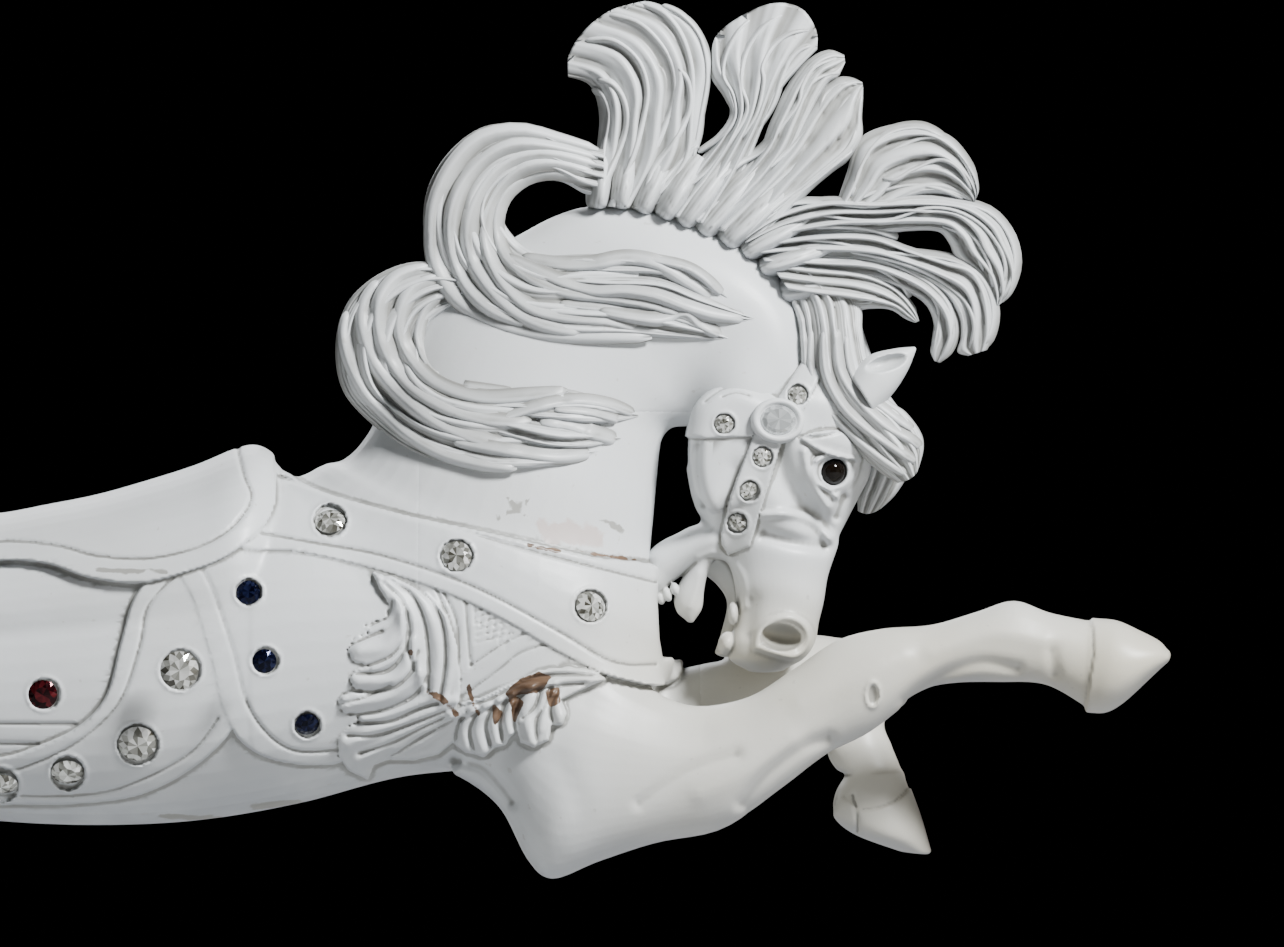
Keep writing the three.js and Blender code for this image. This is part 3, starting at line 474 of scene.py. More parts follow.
def carving_paint():
    """White satin oil paint over carved wood, yellowed on legs and muzzle, with painted shade on downward
    faces and in creases.
    """
    fresh = (0.74, 0.76, 0.77)
    faded = (0.68, 0.69, 0.685)
    yellowed = (0.60, 0.555, 0.44)
    shade_below_colour = (0.33, 0.345, 0.375)
    crease_shade_colour = (0.20, 0.195, 0.175)
    speck = (0.42, 0.40, 0.36)
    rubbed = (0.26, 0.25, 0.22)
    rose_undercoat = (0.60, 0.49, 0.45)
    dark_grain = (0.065, 0.036, 0.02)
    light_grain = (0.19, 0.115, 0.07)
    paint = bpy.data.materials.new("white_carving_paint")
    paint.use_nodes = True
    nodes, links = paint.node_tree.nodes, paint.node_tree.links
    shader = nodes["Principled BSDF"]
    shader.inputs["Roughness"].default_value = 0.42
    shader.inputs["Coat Weight"].default_value = 0.12
    shader.inputs["Coat Roughness"].default_value = 0.3
    place = nodes.new("ShaderNodeTexCoord")

    def noise(scale, detail=3.0, stretch=None):
        """Cloudy values from 0 to 1, a feature about 1 / scale metres wide."""
        texture = nodes.new("ShaderNodeTexNoise")
        texture.inputs["Scale"].default_value = scale
        texture.inputs["Detail"].default_value = detail
        if stretch:
            mapping = nodes.new("ShaderNodeMapping")
            mapping.inputs["Scale"].default_value = stretch
            links.new(place.outputs["Object"], mapping.inputs["Vector"])
            links.new(mapping.outputs["Vector"], texture.inputs["Vector"])
        else:
            links.new(place.outputs["Object"], texture.inputs["Vector"])
        return texture.outputs["Fac"]

    def spread(value, low, high, to_low=0.0, to_high=1.0):
        """A value that lies between low and high, eased to lie between two others."""
        part = nodes.new("ShaderNodeMapRange")
        part.interpolation_type = "SMOOTHSTEP"
        limits = {"From Min": low, "From Max": high, "To Min": to_low, "To Max": to_high}
        for socket, number in limits.items():
            part.inputs[socket].default_value = number
        links.new(value, part.inputs["Value"])
        return part.outputs["Result"]

    def sum_of(a, b, how="ADD", limit=True):
        """Two values or sockets added, or joined in another way."""
        node = nodes.new("ShaderNodeMath")
        node.operation = how
        node.use_clamp = limit
        for socket, value in zip(node.inputs, (a, b)):
            if isinstance(value, (int, float)):
                socket.default_value = value
            else:
                links.new(value, socket)
        return node.outputs["Value"]

    def blend(share, under, over):
        """One colour laid over another where share is 1."""
        mix = nodes.new("ShaderNodeMix")
        mix.data_type = "RGBA"
        for socket, value in zip((mix.inputs[0], mix.inputs[6], mix.inputs[7]), (share, under, over)):
            if isinstance(value, tuple):
                socket.default_value = (*value, 1.0)
            else:
                links.new(value, socket)
        return mix.outputs[2]

    def mark(name):
        """A value that the mesh holds at its corners."""
        node = nodes.new("ShaderNodeAttribute")
        node.attribute_name = name
        return node.outputs["Fac"]

    axes = nodes.new("ShaderNodeSeparateXYZ")
    links.new(place.outputs["Object"], axes.inputs["Vector"])
    low_down = spread(axes.outputs["Z"], 0.70, 0.58)
    to_front = spread(axes.outputs["X"], 0.46, 0.80)
    cloudy = spread(noise(3.1), 0.3, 0.7, 0.55, 1.0)
    aged = sum_of(sum_of(low_down, to_front, "MULTIPLY"), cloudy, "MULTIPLY")
    colour = blend(spread(noise(5.0, 5.0), 0.35, 0.75), fresh, faded)
    colour = blend(aged, colour, yellowed)
    # Painted shade: faces that look downward are darkened towards a cool grey, as if in their own shade.
    facing = nodes.new("ShaderNodeSeparateXYZ")
    links.new(place.outputs["Normal"], facing.inputs["Vector"])
    downward = spread(facing.outputs["Z"], -0.25, -0.95)
    painted_shade_below = sum_of(downward, spread(noise(9.0, 4.0), 0.3, 0.6, 0.6, 1.0), "MULTIPLY")
    colour = blend(sum_of(painted_shade_below, 0.75, "MULTIPLY"), colour, shade_below_colour)
    # Painted shade: corners marked as lying in creases, cuts, nostrils and under the muzzle are darkened
    # towards grey-brown, as if shade fell there.
    shade_in_cuts = spread(mark("painted_shade"), 0.10, 0.85)
    painted_crease_shade = sum_of(shade_in_cuts, spread(noise(24.0), 0.25, 0.6, 0.65, 1.0), "MULTIPLY")
    colour = blend(sum_of(painted_crease_shade, 0.85, "MULTIPLY"), colour, crease_shade_colour)
    specks = spread(noise(95.0, 2.0), 0.71, 0.76, 0.0, 0.35)
    colour = blend(specks, colour, speck)
    ragged = sum_of(noise(70.0, 6.0), 0.5, "SUBTRACT", limit=False)
    streaks = noise(60.0, 4.0, stretch=(0.3, 1.0, 1.5))

    def worn(name, reach, low, high):
        """A marked place with a ragged edge."""
        return spread(sum_of(mark(name), sum_of(ragged, reach, "MULTIPLY", False), "ADD", False), low, high)

    colour = blend(sum_of(worn("scuff", 1.3, 0.5, 0.75), 0.8, "MULTIPLY"), colour, rubbed)
    colour = blend(sum_of(worn("rose", 1.6, 0.45, 0.75), 0.75, "MULTIPLY"), colour, rose_undercoat)
    grain = blend(spread(streaks, 0.35, 0.65), dark_grain, light_grain)
    colour = blend(worn("bare_wood", 0.9, 0.50, 0.56), colour, grain)
    links.new(colour, shader.inputs["Base Color"])
    bump = nodes.new("ShaderNodeBump")
    bump.inputs["Strength"].default_value = 0.18
    bump.inputs["Distance"].default_value = 0.0015
    links.new(sum_of(noise(38.0, 4.0), sum_of(noise(240.0, 2.0), 0.25, "MULTIPLY"), "ADD", False),
              bump.inputs["Height"])
    links.new(bump.outputs["Normal"], shader.inputs["Normal"])
    return paint


white_paint = carving_paint()


def as_carving(piece):
    """Paints a piece and makes it part of the one carved horse."""
    piece.data.materials.append(white_paint)
    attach(piece, "root")
    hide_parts("carved_horse")


def soft_union(a, b, reach):
    """Two fields joined, with a fillet about reach wide where they meet."""
    mix = np.clip(0.5 + 0.5 * (b - a) / reach, 0, 1)
    return b * (1 - mix) + a * mix - reach * mix * (1 - mix)


def soft_cut(a, b, reach):
    """One field with another taken out of it, the edge eased over reach."""
    return -soft_union(-a, b, reach)


def box_mean(field, reach):
    """The mean of a field over a cube that reaches so many steps each way."""
    out = field
    for axis in range(3):
        size = out.shape[axis]
        pad = [(reach + 1, reach) if i == axis else (0, 0) for i in range(3)]
        total = np.cumsum(np.pad(out, pad, mode="edge"), axis, dtype=np.float64)
        upper = np.take(total, np.arange(size) + 2 * reach + 1, axis)
        lower = np.take(total, np.arange(size), axis)
        out = ((upper - lower) / (2 * reach + 1)).astype(np.float32)
    return out


def read_field(field, space, corners):
    """A field's value at any places in its block."""
    place = np.clip((corners - space["low"]) / space["voxel"], 0, np.array(space["shape"]) - 1.001)
    start = place.astype(int)
    part = place - start
    value = np.zeros(len(corners))
    for i in (0, 1):
        for j in (0, 1):
            for k in (0, 1):
                share = np.prod(np.abs(1 - np.array([i, j, k]) - part), axis=1)
                value += share * field[start[:, 0] + i, start[:, 1] + j, start[:, 2] + k]
    return value


def creases(field, space, corners, reach=2):
    """How far each corner lies in a crease: 0 on open ground, towards 1 in a cut."""
    return -read_field(box_mean(field, reach), space, corners) / (space["voxel"] * reach * 0.3)


def read_map(flat, space, corners):
    """A side-view map's value at corners."""
    x = ((corners[:, 0] - space["low"][0]) / space["voxel"]).clip(0, flat.shape[0] - 1.001)
    z = ((corners[:, 2] - space["low"][2]) / space["voxel"]).clip(0, flat.shape[1] - 1.001)
    i, k = x.astype(int), z.astype(int)
    s, t = x - i, z - k
    return ((flat[i, k] * (1 - s) + flat[i + 1, k] * s) * (1 - t)
            + (flat[i, k + 1] * (1 - s) + flat[i + 1, k + 1] * s) * t)


def lighten(piece, most):
    """Fewer faces where the surface is plain, until a piece has at most so many triangles."""
    count = sum(len(face.vertices) - 2 for face in piece.data.polygons)
    if count <= most:
        return
    thinner = piece.modifiers.new("fewer_faces", "DECIMATE")
    thinner.ratio = most / count
    made = bpy.data.meshes.new_from_object(piece.evaluated_get(bpy.context.evaluated_depsgraph_get()))
    piece.modifiers.clear()
    piece.data = made


WORN_WOOD = [[[508, 692], [522, 678], [540, 672], [551, 676], [538, 690]], [[510, 693], [524, 700],
                                                                            [516, 719]], [[495, 704],
                                                                                          [502, 710],
                                                                                          [496, 722]],
             [[548, 690], [558, 687], [559, 700], [551, 703]]]
RUBBED_BROWN = [([[430, 690], [446, 700], [458, 712]], 6), ([[470, 680], [474, 700], [480, 712]], 4),
                ([[412, 650], [413, 652]], 4), ([[530, 545], [560, 551]], 4),
                ([[576, 549], [610, 556], [645, 560]], 3)]
ROSE_PATCH = [[536, 524], [560, 521], [603, 530], [600, 545], [560, 544], [540, 538]]
SCUFFS = [([[498, 520], [540, 493]], 3), ([[508, 497], [530, 520]], 2.5), ([[255, 806], [300, 802]], 6),
          ([[160, 815], [220, 818]], 5), ([[100, 569], [172, 571]], 4), ([[612, 524], [622, 530]], 6),
          ([[600, 520], [612, 523]], 4)]


def worn_places(places):
    """Strength from 0 to 1 of bare wood, rose undercoat and grey scuffs, seen from the side."""
    wood = np.zeros(places[0].shape)
    for outline in WORN_WOOD:
        wood = np.maximum(wood, np.clip(0.75 - inside(places, outline, smooth=False) / 7, 0, 1))
    for line, half in RUBBED_BROWN:
        wood = np.maximum(wood, 0.62 * np.clip(1.4 - line_distance(places, line) / half, 0, 1))
    rose = np.clip(0.6 - inside(places, ROSE_PATCH) / 16, 0, 1)
    scuff = np.zeros(places[0].shape)
    for line, half in SCUFFS:
        scuff = np.maximum(scuff, np.clip(1.2 - line_distance(places, line) / half, 0, 1))
    return {"bare_wood": wood, "rose": rose, "scuff": scuff}


LEG_FORMS = [
    ([[640, 800], [662, 784], [692, 766], [735, 752]], -3.2, 7),
    ([[742, 801], [766, 772], [800, 746], [826, 737]], -4, 8),
    ([[700, 790], [740, 770], [790, 740]], 2.5, 12),
    ([[455, 760], [482, 766], [502, 786], [512, 800]], -4, 6),
    ([[905, 700], [922, 684], [952, 668], [982, 661], [1014, 667]], -3.5, 7),
    ([[1049, 650], [1052, 672]], -3, 7), ([[930, 650], [990, 632], [1040, 640]], 2, 9),
    ([[590, 700], [640, 720], [700, 730]], -2, 16), ([[800, 700], [850, 680], [900, 655]], 2, 13),
    ([[560, 760], [580, 810], [560, 850]], -2, 14)]
NEAR_HOOF = [[1086, 600], [1091, 632], [1091, 652], [1087, 677], [1082, 720], [1180, 720], [1180, 600]]
FAR_HOOF = [[840, 796], [862, 812], [880, 809], [896, 803], [912, 789], [960, 840], [950, 880], [820, 860]]
FAR_HOOF_CUT = [[853, 796], [857, 812], [858, 832]]
CHESTNUT_PLACE = (871, 693)


def right_relief(places):
    """Relief of the right side: dress and leaves, the forearm's muscles, tendons, chestnut and hoof."""
    relief = dress_relief(places)
    for line, height, half in LEG_FORMS:
        relief = relief + swell(places, line, height, half)
    chestnut = np.hypot((places[0] - CHESTNUT_PLACE[0]) / 7, (places[1] - CHESTNUT_PLACE[1]) / 12)
    relief += 2.5 * np.exp(-(((chestnut - 1) / 0.22) ** 2)) - 3.5 * np.clip(1.2 - chestnut, 0, 1)
    return relief + raised(inside(places, NEAR_HOOF, smooth=False), 2.6, 1.6)


def left_relief(places):
    """Relief of the left side: the same saddle, strap, flap and border, without leaves."""
    return dress_relief(places, leaves=False)


def left_hoof_relief(places):
    """The left forehoof, whose wall stands out at the coronet."""
    return raised(inside(places, FAR_HOOF, smooth=False), 2.4, 2) + groove(places, FAR_HOOF_CUT, 2.5, 2)


STONES = {
    "border_jewel": 19, "lower_border_jewel": 16, "rear_border_jewel": 16, "cloth_jewel": 14.5,
    "flap_jewel": 12, "breast_strap_jewel": 15, "bridle_jewel": 9, "boss_jewel": 18}


def kind_of(node):
    """A node's name without its number."""
    return node.rstrip("0123456789").rstrip("_")


def stone_places(kinds, low, high):
    """Node, place in the side view and radius of each stone of some kinds between two x values."""
    for node in sorted(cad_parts):
        if kind_of(node) in kinds:
            start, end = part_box(node)
            x = (start[0] + end[0]) / MM / 2
            drop = MANE_TOP - (start[2] + end[2]) / MM / 2
            if low <= x < high:
                yield node, (x, drop), STONES[kind_of(node)]


def seat_on(field, space, x, drop, radius):
    """Where the surface is first met from the right, and the way out from it around that place."""
    def depth(px, pd):
        """How far to the right the surface is at one place."""
        i = int(round((px - space["low"][0]) / space["voxel"]))
        k = int(round((MANE_TOP - pd - space["low"][2]) / space["voxel"]))
        line = field[i, :, k]
        j = max(int((line < 0).argmax()), 1)
        return space["low"][1] + (j - line[j] / (line[j] - line[j - 1])) * space["voxel"]

    step = radius * 0.8
    slope_x = (depth(x + step, drop) - depth(x - step, drop)) / (2 * step)
    slope_z = (depth(x, drop - step) - depth(x, drop + step)) / (2 * step)
    return Vector((x, depth(x, drop), MANE_TOP - drop)), Vector((slope_x, -1, slope_z)).normalized()


def stone_holes(places, seats):
    """Round holes for stones, each with a low rim and a narrow gap, as a depth below the surface."""
    sunk = np.zeros(places[0].shape)
    for _, (x, drop), radius in seats:
        away = np.hypot(places[0] - x, places[1] - drop)
        sunk += np.where(away < radius + 1.4, -4.0, 1.3 * np.exp(-(((away - radius - 3) / 1.6) ** 2)))
    return sunk


JAW_GAP = [[724, 424], [686, 428], [667, 436], [662, 442], [660, 460], [657, 490], [654, 520], [650, 550],
           [648, 600], [650, 640], [655, 668], [724, 662]]
BODY_STONES = [kind for kind in STONES if kind not in ("bridle_jewel", "boss_jewel")]
THROAT = dict(middle=(742, -4, 396), radii=(50, 62, 60))
BARE_RADIUS = 24
OVERLAP = 4.0
DIP = 0.25
MARGIN_VOXELS = 8
BODY_TRIANGLES = 96_000
BLOCKS = [
    ("cloth_side_carving", (-240, -184, 398), (420, 0, 828), 2.0, right_relief, 128_000),
    ("shoulder_and_foreleg_carving", (420, -184, 340), (1184, 0, 828), 2.0, right_relief, 128_000),
    ("far_cloth_carving", (-240, 0, 398), (700, 184, 828), 3.0, left_relief, 76_000),
    ("far_forehoof_carving", (780, 0, 372), (960, 140, 548), 2.0, left_hoof_relief, 24_000)]


def with_gap(field, space):
    """A field with the gap between chest and jaw cut clear."""
    gap = inside(side_places(space), JAW_GAP, smooth=False)[:, None, :].astype(np.float32)
    return soft_cut(field, np.broadcast_to(gap, field.shape), 5)


def box_distance(space, low, high):
    """Distance to an upright box, negative inside, at every place of a field."""
    out = None
    for axis in range(3):
        at = space["low"][axis] + np.arange(space["shape"][axis]) * space["voxel"]
        away = np.maximum(low[axis] - at, at - high[axis]).astype(np.float32)
        away = away.reshape([-1 if i == axis else 1 for i in range(3)])
        out = away if out is None else np.maximum(out, away)
    return out


def ellipsoid(space, middle, radii, tilt=0.0):
    """Distance to an egg-shaped form at x, y and drop, turned in the side view by tilt degrees."""
    x, y, z = (space["low"][i] + np.arange(space["shape"][i]) * space["voxel"] for i in range(3))
    dx = (x - middle[0])[:, None, None]
    dy = (y - middle[1])[None, :, None]
    dz = (z - (MANE_TOP - middle[2]))[None, None, :]
    c = math.cos(math.radians(tilt))
    s = math.sin(math.radians(tilt))
    length = (dx * c + dz * s) / radii[0]
    height = (dz * c - dx * s) / radii[2]
    size = np.sqrt(length ** 2 + (dy / radii[1]) ** 2 + height ** 2)
    return ((size - 1) * min(radii)).astype(np.float32)


body_field = soft_union(body_field, ellipsoid(body_space, **THROAT), 34)
body_field = with_gap(body_field, body_space)
rest = body_field
stone_seats = {}
for name, low, high, voxel, relief_of, most in BLOCKS:
    low, high = np.array(low, float), np.array(high, float)
    rest = rest + DIP * np.maximum(-box_distance(body_space, low, high), 0)
    rest = np.maximum(rest, -box_distance(body_space, low + OVERLAP, high - OVERLAP))
    margin = MARGIN_VOXELS * voxel
    fine, fine_space = finer(body_field, body_space, low - margin, high + margin, voxel)
    places = side_places(fine_space)
    fine -= relief_of(places)[:, None, :].astype(np.float32)
    near = relief_of is right_relief
    if near:
        seats = list(stone_places(BODY_STONES, low[0], high[0]))
        for node, (x, drop), radius in seats:
            top = seat_on(fine, fine_space, x, drop, radius)[0]
            out = seat_on(body_field, body_space, x, drop, BARE_RADIUS)[1]
            stone_seats[node] = (top, out, radius)
        fine -= stone_holes(places, seats)[:, None, :].astype(np.float32)
    cut_out = fine + DIP * np.maximum(box_distance(fine_space, low, high), 0)
    cut_out = np.maximum(cut_out, box_distance(fine_space, low - OVERLAP, high + OVERLAP))
    fine_corners, fine_quads = skin_of(cut_out, fine_space)
    # Painted shade: how deep each corner lies in a crease, for the paint to darken there.
    marks = {"painted_shade": creases(fine, fine_space, fine_corners).clip(-1, 1)}
    if near:
        for key, flat in worn_places(places).items():
            marks[key] = read_map(flat, fine_space, fine_corners)
    piece = mesh_piece(name, fine_corners, fine_quads, marks)
    lighten(piece, most)
    as_carving(piece)
corners, quads = skin_of(rest, body_space)
# Painted shade in the creases of the plain body, as on the finer blocks.
painted_shade = creases(body_field, body_space, corners).clip(-1, 1)
body = mesh_piece("body_carving", corners, quads, {"painted_shade": painted_shade})
lighten(body, BODY_TRIANGLES)
as_carving(body)


# The head: carved from its own block of basswood and glued on under the mane, jaws open, tongue and teeth
# cut free, with a bridle in low relief on both sides, an eye socket on each and ears hollowed with a gouge.

HEAD_MIDDLE = -4
HEAD_VOXEL = 1.6
HEAD_BAND = 30
HEAD_TRIANGLES = 130_000
HEAD = dict(
    front=[[850, 345], [872, 385], [878, 420], [873, 452], [871, 475], [860, 500], [850, 520], [839, 545],
           [829, 572], [824, 595], [819, 620], [815, 640], [803, 658], [785, 669]],
    back=[[775, 370], [735, 388], [703, 405], [690, 435], [689, 465], [693, 495], [702, 520], [718, 545],
          [730, 570], [736, 597], [735, 622], [728, 645], [730, 660], [747, 670]],
    width=[40, 55, 62, 64, 63, 58, 50, 44, 40, 38, 39, 41, 37, 27], side=[HEAD_MIDDLE], ends=(0, 3))
LOWER_JAW = dict(
    front=[[690, 470], [698, 505], [698, 520], [680, 532], [662, 541], [649, 553], [645, 572], [649, 592]],
    back=[[740, 500], [735, 540], [722, 556], [706, 562], [690, 571], [674, 581], [665, 590], [658, 598]],
    width=[45, 38, 34, 31, 29, 28, 25, 15], side=[HEAD_MIDDLE], ends=(0, 3))
FAR_LIP = dict(
    front=[[742, 548], [750, 575], [748, 610], [742, 640], [736, 655]],
    back=[[698, 570], [717, 585], [727, 603], [722, 630], [715, 652]],
    width=[14, 14, 13, 12, 11], side=[22], ends=(2, 4))
TONGUE = dict(
    front=[[694, 560], [680, 582], [674, 598], [677, 612], [686, 620]],
    back=[[712, 560], [707, 575], [704, 590], [702, 608], [694, 621]],
    width=[18, 17, 16, 13, 7], side=[-8], ends=(0, 2))
EAR = dict(
    front=[[850, 374], [868, 356], [893, 349], [914, 347]],
    back=[[874, 414], [893, 393], [907, 371], [915, 351]],
    width=[26, 23, 15, 2.5], ends=(0, 1))
HEAD_FORMS = [
    (HEAD, 1), (LOWER_JAW, 12), (FAR_LIP, 5), (TONGUE, 2.5), (dict(EAR, side=[-48]), 5),
    (dict(EAR, side=[40]), 5)]
TEETH = [
    ((660, -12, 597), (4.5, 7, 8), 20), ((667, -14, 594), (4.5, 7, 8), 20),
    ((675, -16, 589), (4.5, 6, 7), 20), ((733, -12, 613), (6, 16, 12), 0),
    ((727, -8, 643), (9, 20, 12), -15)]
JOWL = [[690, 432], [697, 408], [712, 393], [735, 386], [756, 392], [778, 410], [775, 450], [748, 492],
        [716, 512], [696, 500], [689, 465]]
CHEEK_STRAP = [[760, 418], [752, 438], [742, 465], [731, 495], [721, 536], [722, 545], [728, 555],
               [749, 546], [757, 520], [764, 497], [772, 470], [781, 440], [784, 420]]
JOWL_STRAP = [[680, 437], [684, 415], [696, 398], [714, 386], [736, 382], [760, 388], [784, 404],
              [784, 437], [752, 437], [705, 438]]
CROWN_STRAP = [[768, 412], [778, 398], [790, 380], [802, 362], [822, 370], [812, 392], [801, 412]]
BROW = [[799, 438], [812, 433], [826, 431], [838, 431], [850, 441], [860, 458], [846, 459], [828, 455],
        [812, 447]]
NOSTRIL = [[756, 646], [759, 632], [770, 621], [788, 617], [803, 624], [809, 637], [804, 650], [790, 656]]
JOWL_HALF = 66
JOWL_EASING = 18
JOWL_LINES = [[[705, 402], [720, 391], [736, 387], [752, 389]], [[722, 397], [735, 393], [749, 396]]]
BRIDLE = [(CROWN_STRAP, 3.5), (JOWL_STRAP, 3.5), (CHEEK_STRAP, 5)]
EYELIDS = [[[815, 461], [834, 456], [858, 459]], [[857, 460], [852, 478], [836, 496]], [[822, 485],
                                                                                        [836, 497]]]
BROW_HOLLOW = [[801, 438], [856, 456]]
BROW_CUT = [[798, 437], [818, 437], [838, 432]]
MOUTH_CORNER = dict(middle=(722, HEAD_MIDDLE, 596), radii=(12, 15, 34), tilt=-4)
NOSTRIL_PLACE = (782, 637)
NOSTRIL_SIDE = 42
NOSTRIL_RADII = (21, 27, 13)
EAR_HOLLOW_PLACE = (888, 362)
EAR_HOLLOW_SIDE = 68
EAR_HOLLOW_RADII = (25, 20, 8.5)
MUZZLE_PLACE = (765, 662)
ROSETTE_PLACE = (777, 421)
EYE_PLACE = (831, 471)
EYE_RADIUS = 14.6
SOCKET_RADIUS = 15.4
FACE_FORMS = [
    ([[774, 448], [784, 478], [800, 503], [820, 526]], -14, 13),
    ([[764, 534], [790, 541], [822, 545]], -8, 8), ([[762, 515], [792, 514], [814, 522], [828, 538]], 6, 5),
    ([[804, 452], [810, 478], [826, 506]], 5, 5), ([[843, 498], [836, 516]], -5, 5),
    ([[697, 446], [697, 475], [703, 505]], -4, 6), ([[735, 470], [728, 500]], -4, 10),
    ([[700, 520], [712, 528]], -4, 8),
    ([[700, 558], [714, 553], [731, 560], [743, 580], [745, 605]], 2.2, 4),
    ([[862, 470], [851, 505], [839, 535]], -2.5, 8), ([[752, 600], [748, 632]], -3, 8),
    ([[662, 560], [690, 545], [710, 540]], 2, 10), ([[700, 574], [696, 592], [690, 606]], 1.8, 4),
    ([[756, 585], [790, 590], [812, 600]], 2, 14), ([[800, 400], [830, 408]], 3, 14)]


def slab(space, outline, middle, half, easing):
    """A plate seen from the side as an outline, with well rounded edges."""
    flat = inside(side_places(space), outline)[:, None, :] + easing
    y = space["low"][1] + np.arange(space["shape"][1]) * space["voxel"]
    deep = (abs(y - middle) - half + easing)[None, :, None]
    return (np.hypot(np.maximum(flat, 0), np.maximum(deep, 0)) + np.minimum(np.maximum(flat, deep), 0)
            - easing).astype(np.float32)


head_space = block((634, -100, MANE_TOP - 684), (936, 92, MANE_TOP - 330), HEAD_VOXEL)
head_field = far_away(head_space, HEAD_BAND)
for form, reach in HEAD_FORMS:
    blend_in(head_field, head_space, rounded_form(**form), reach, HEAD_BAND)
head_field = soft_union(head_field, slab(head_space, JOWL, HEAD_MIDDLE, JOWL_HALF, JOWL_EASING), 5)
for middle, radii, tilt in TEETH:
    head_field = soft_union(head_field, ellipsoid(head_space, middle, radii, tilt), 1.5)
head_field = soft_cut(head_field, ellipsoid(head_space, **MOUTH_CORNER), 3)

# The face: swellings and hollows, the eye's hollow and its rim, lids, nostrils, brow and bridle straps.
places = side_places(head_space)
face = np.zeros(places[0].shape)
for line, height, half in FACE_FORMS:
    face += swell(places, line, height, half)
around_eye = np.hypot(places[0] - EYE_PLACE[0], places[1] - EYE_PLACE[1])
face -= 6 * np.exp(-((around_eye / 24) ** 2))
face += 4.5 * np.exp(-(((around_eye - 17.5) / 3) ** 2))
for line in EYELIDS:
    face += swell(places, line, 3.2, 3)
face += swell(places, [*NOSTRIL, NOSTRIL[0]], 5.5, 4.5)
brow = inside(places, BROW)
brow_fold = raised(brow, 7, 1.6) + groove(places, BROW_HOLLOW, 2, 5) * (brow < 0)
face = np.where(brow < 1.5, np.maximum(face, brow_fold), face)
face += groove(places, BROW_CUT, 2.4, 2)
for outline, height in BRIDLE:
    area = inside(places, outline, smooth=False)
    face = np.where(area < 1, np.maximum(face * np.clip(area, 0, 1), raised(area, height, 1.6)), face)
for line in JOWL_LINES:
    face += groove(places, line, 1.8, 1.6)
head_field -= face[:, None, :].astype(np.float32)
bridle_seats = list(stone_places(["bridle_jewel"], -FAR_OFF, FAR_OFF))
for node, (x, drop), radius in bridle_seats:
    stone_seats[node] = (*seat_on(head_field, head_space, x, drop, radius), radius)
rosette_foot, rosette_out = seat_on(head_field, head_space, *ROSETTE_PLACE, BARE_RADIUS)
eye_depth = seat_on(head_field, head_space, *EYE_PLACE, 9)[0].y + EYE_RADIUS * 0.5
holes = stone_holes(places, bridle_seats)[:, None, :].astype(np.float32)
right_half = (head_space["low"][1] + np.arange(head_space["shape"][1]) * HEAD_VOXEL < 0)[None, :, None]
head_field -= holes * right_half


def mirrored(place, side):
    """A place in the side view, so far out on one side of the head."""
    return place[0], HEAD_MIDDLE + side, place[1]


for side in (-1, 1):
    nostril = ellipsoid(head_space, mirrored(NOSTRIL_PLACE, side * NOSTRIL_SIDE), NOSTRIL_RADII, -12)
    head_field = soft_cut(head_field, nostril, 1.5)
    hollow = ellipsoid(head_space, mirrored(EAR_HOLLOW_PLACE, side * EAR_HOLLOW_SIDE), EAR_HOLLOW_RADII, 16)
    head_field = soft_cut(head_field, hollow, 1.0)
    eye_middle = mirrored(EYE_PLACE, side * (HEAD_MIDDLE - eye_depth))
    head_field = soft_cut(head_field, ellipsoid(head_space, eye_middle, [SOCKET_RADIUS] * 3), 0.8)
corners, quads = skin_of(head_field, head_space)


def near_to(place, across, down):
    """How far each corner lies from a place of the side view, where 1 is the edge of an oval."""
    return np.hypot((corners[:, 0] - place[0]) / across, (MANE_TOP - corners[:, 2] - place[1]) / down)


# Painted shade: the nostrils and the muzzle below are given extra shade in the paint, added to the crease
# shade.
in_nostril = (near_to(NOSTRIL_PLACE, 23, 14) < 1) * 0.45
painted_shade = np.maximum(creases(head_field, head_space, corners), in_nostril)
muzzle = np.clip(1 - near_to(MUZZLE_PLACE, 62, 34), 0, 1)
head = mesh_piece("head_carving", corners, quads, {"painted_shade": painted_shade + muzzle * 0.4})
lighten(head, HEAD_TRIANGLES)
as_carving(head)


# The rosette where the bridle straps cross: a disc of wood, turned with a rounded rim and a sunk middle,
# glued on over the straps and painted with the head. Its middle holds the large stone.

ROSETTE_PROFILE = [(0, 1.2), (17.5, 1.2), (19.2, 1.6), (20.2, 3.6), (21.6, 4.8), (24.2, 4.6), (26.4, 2.4),
                   (27, -1), (27, -8), (0, -8)]
ROSETTE_FLATNESS = 0.84
ROSETTE_RISE = 2.5


def turned(mesh, place, out):
    """Moves a mesh that was made about +Z, in millimetres, to a place in the horse and the way it faces."""
    facing = out.to_track_quat("Z", "Y").to_matrix().to_4x4()
    mesh.transform(Matrix.Scale(MM, 4) @ Matrix.Translation(place) @ facing)


def piece_from(made, name, smooth=True):
    """A piece of the scene from the geometry made for it."""
    mesh = bpy.data.meshes.new(name)
    made.to_mesh(mesh)
    made.free()
    if smooth:
        mesh.polygons.foreach_set("use_smooth", np.ones(len(mesh.polygons), bool))
    piece = bpy.data.objects.new(name, mesh)
    bpy.context.scene.collection.objects.link(piece)
    return piece


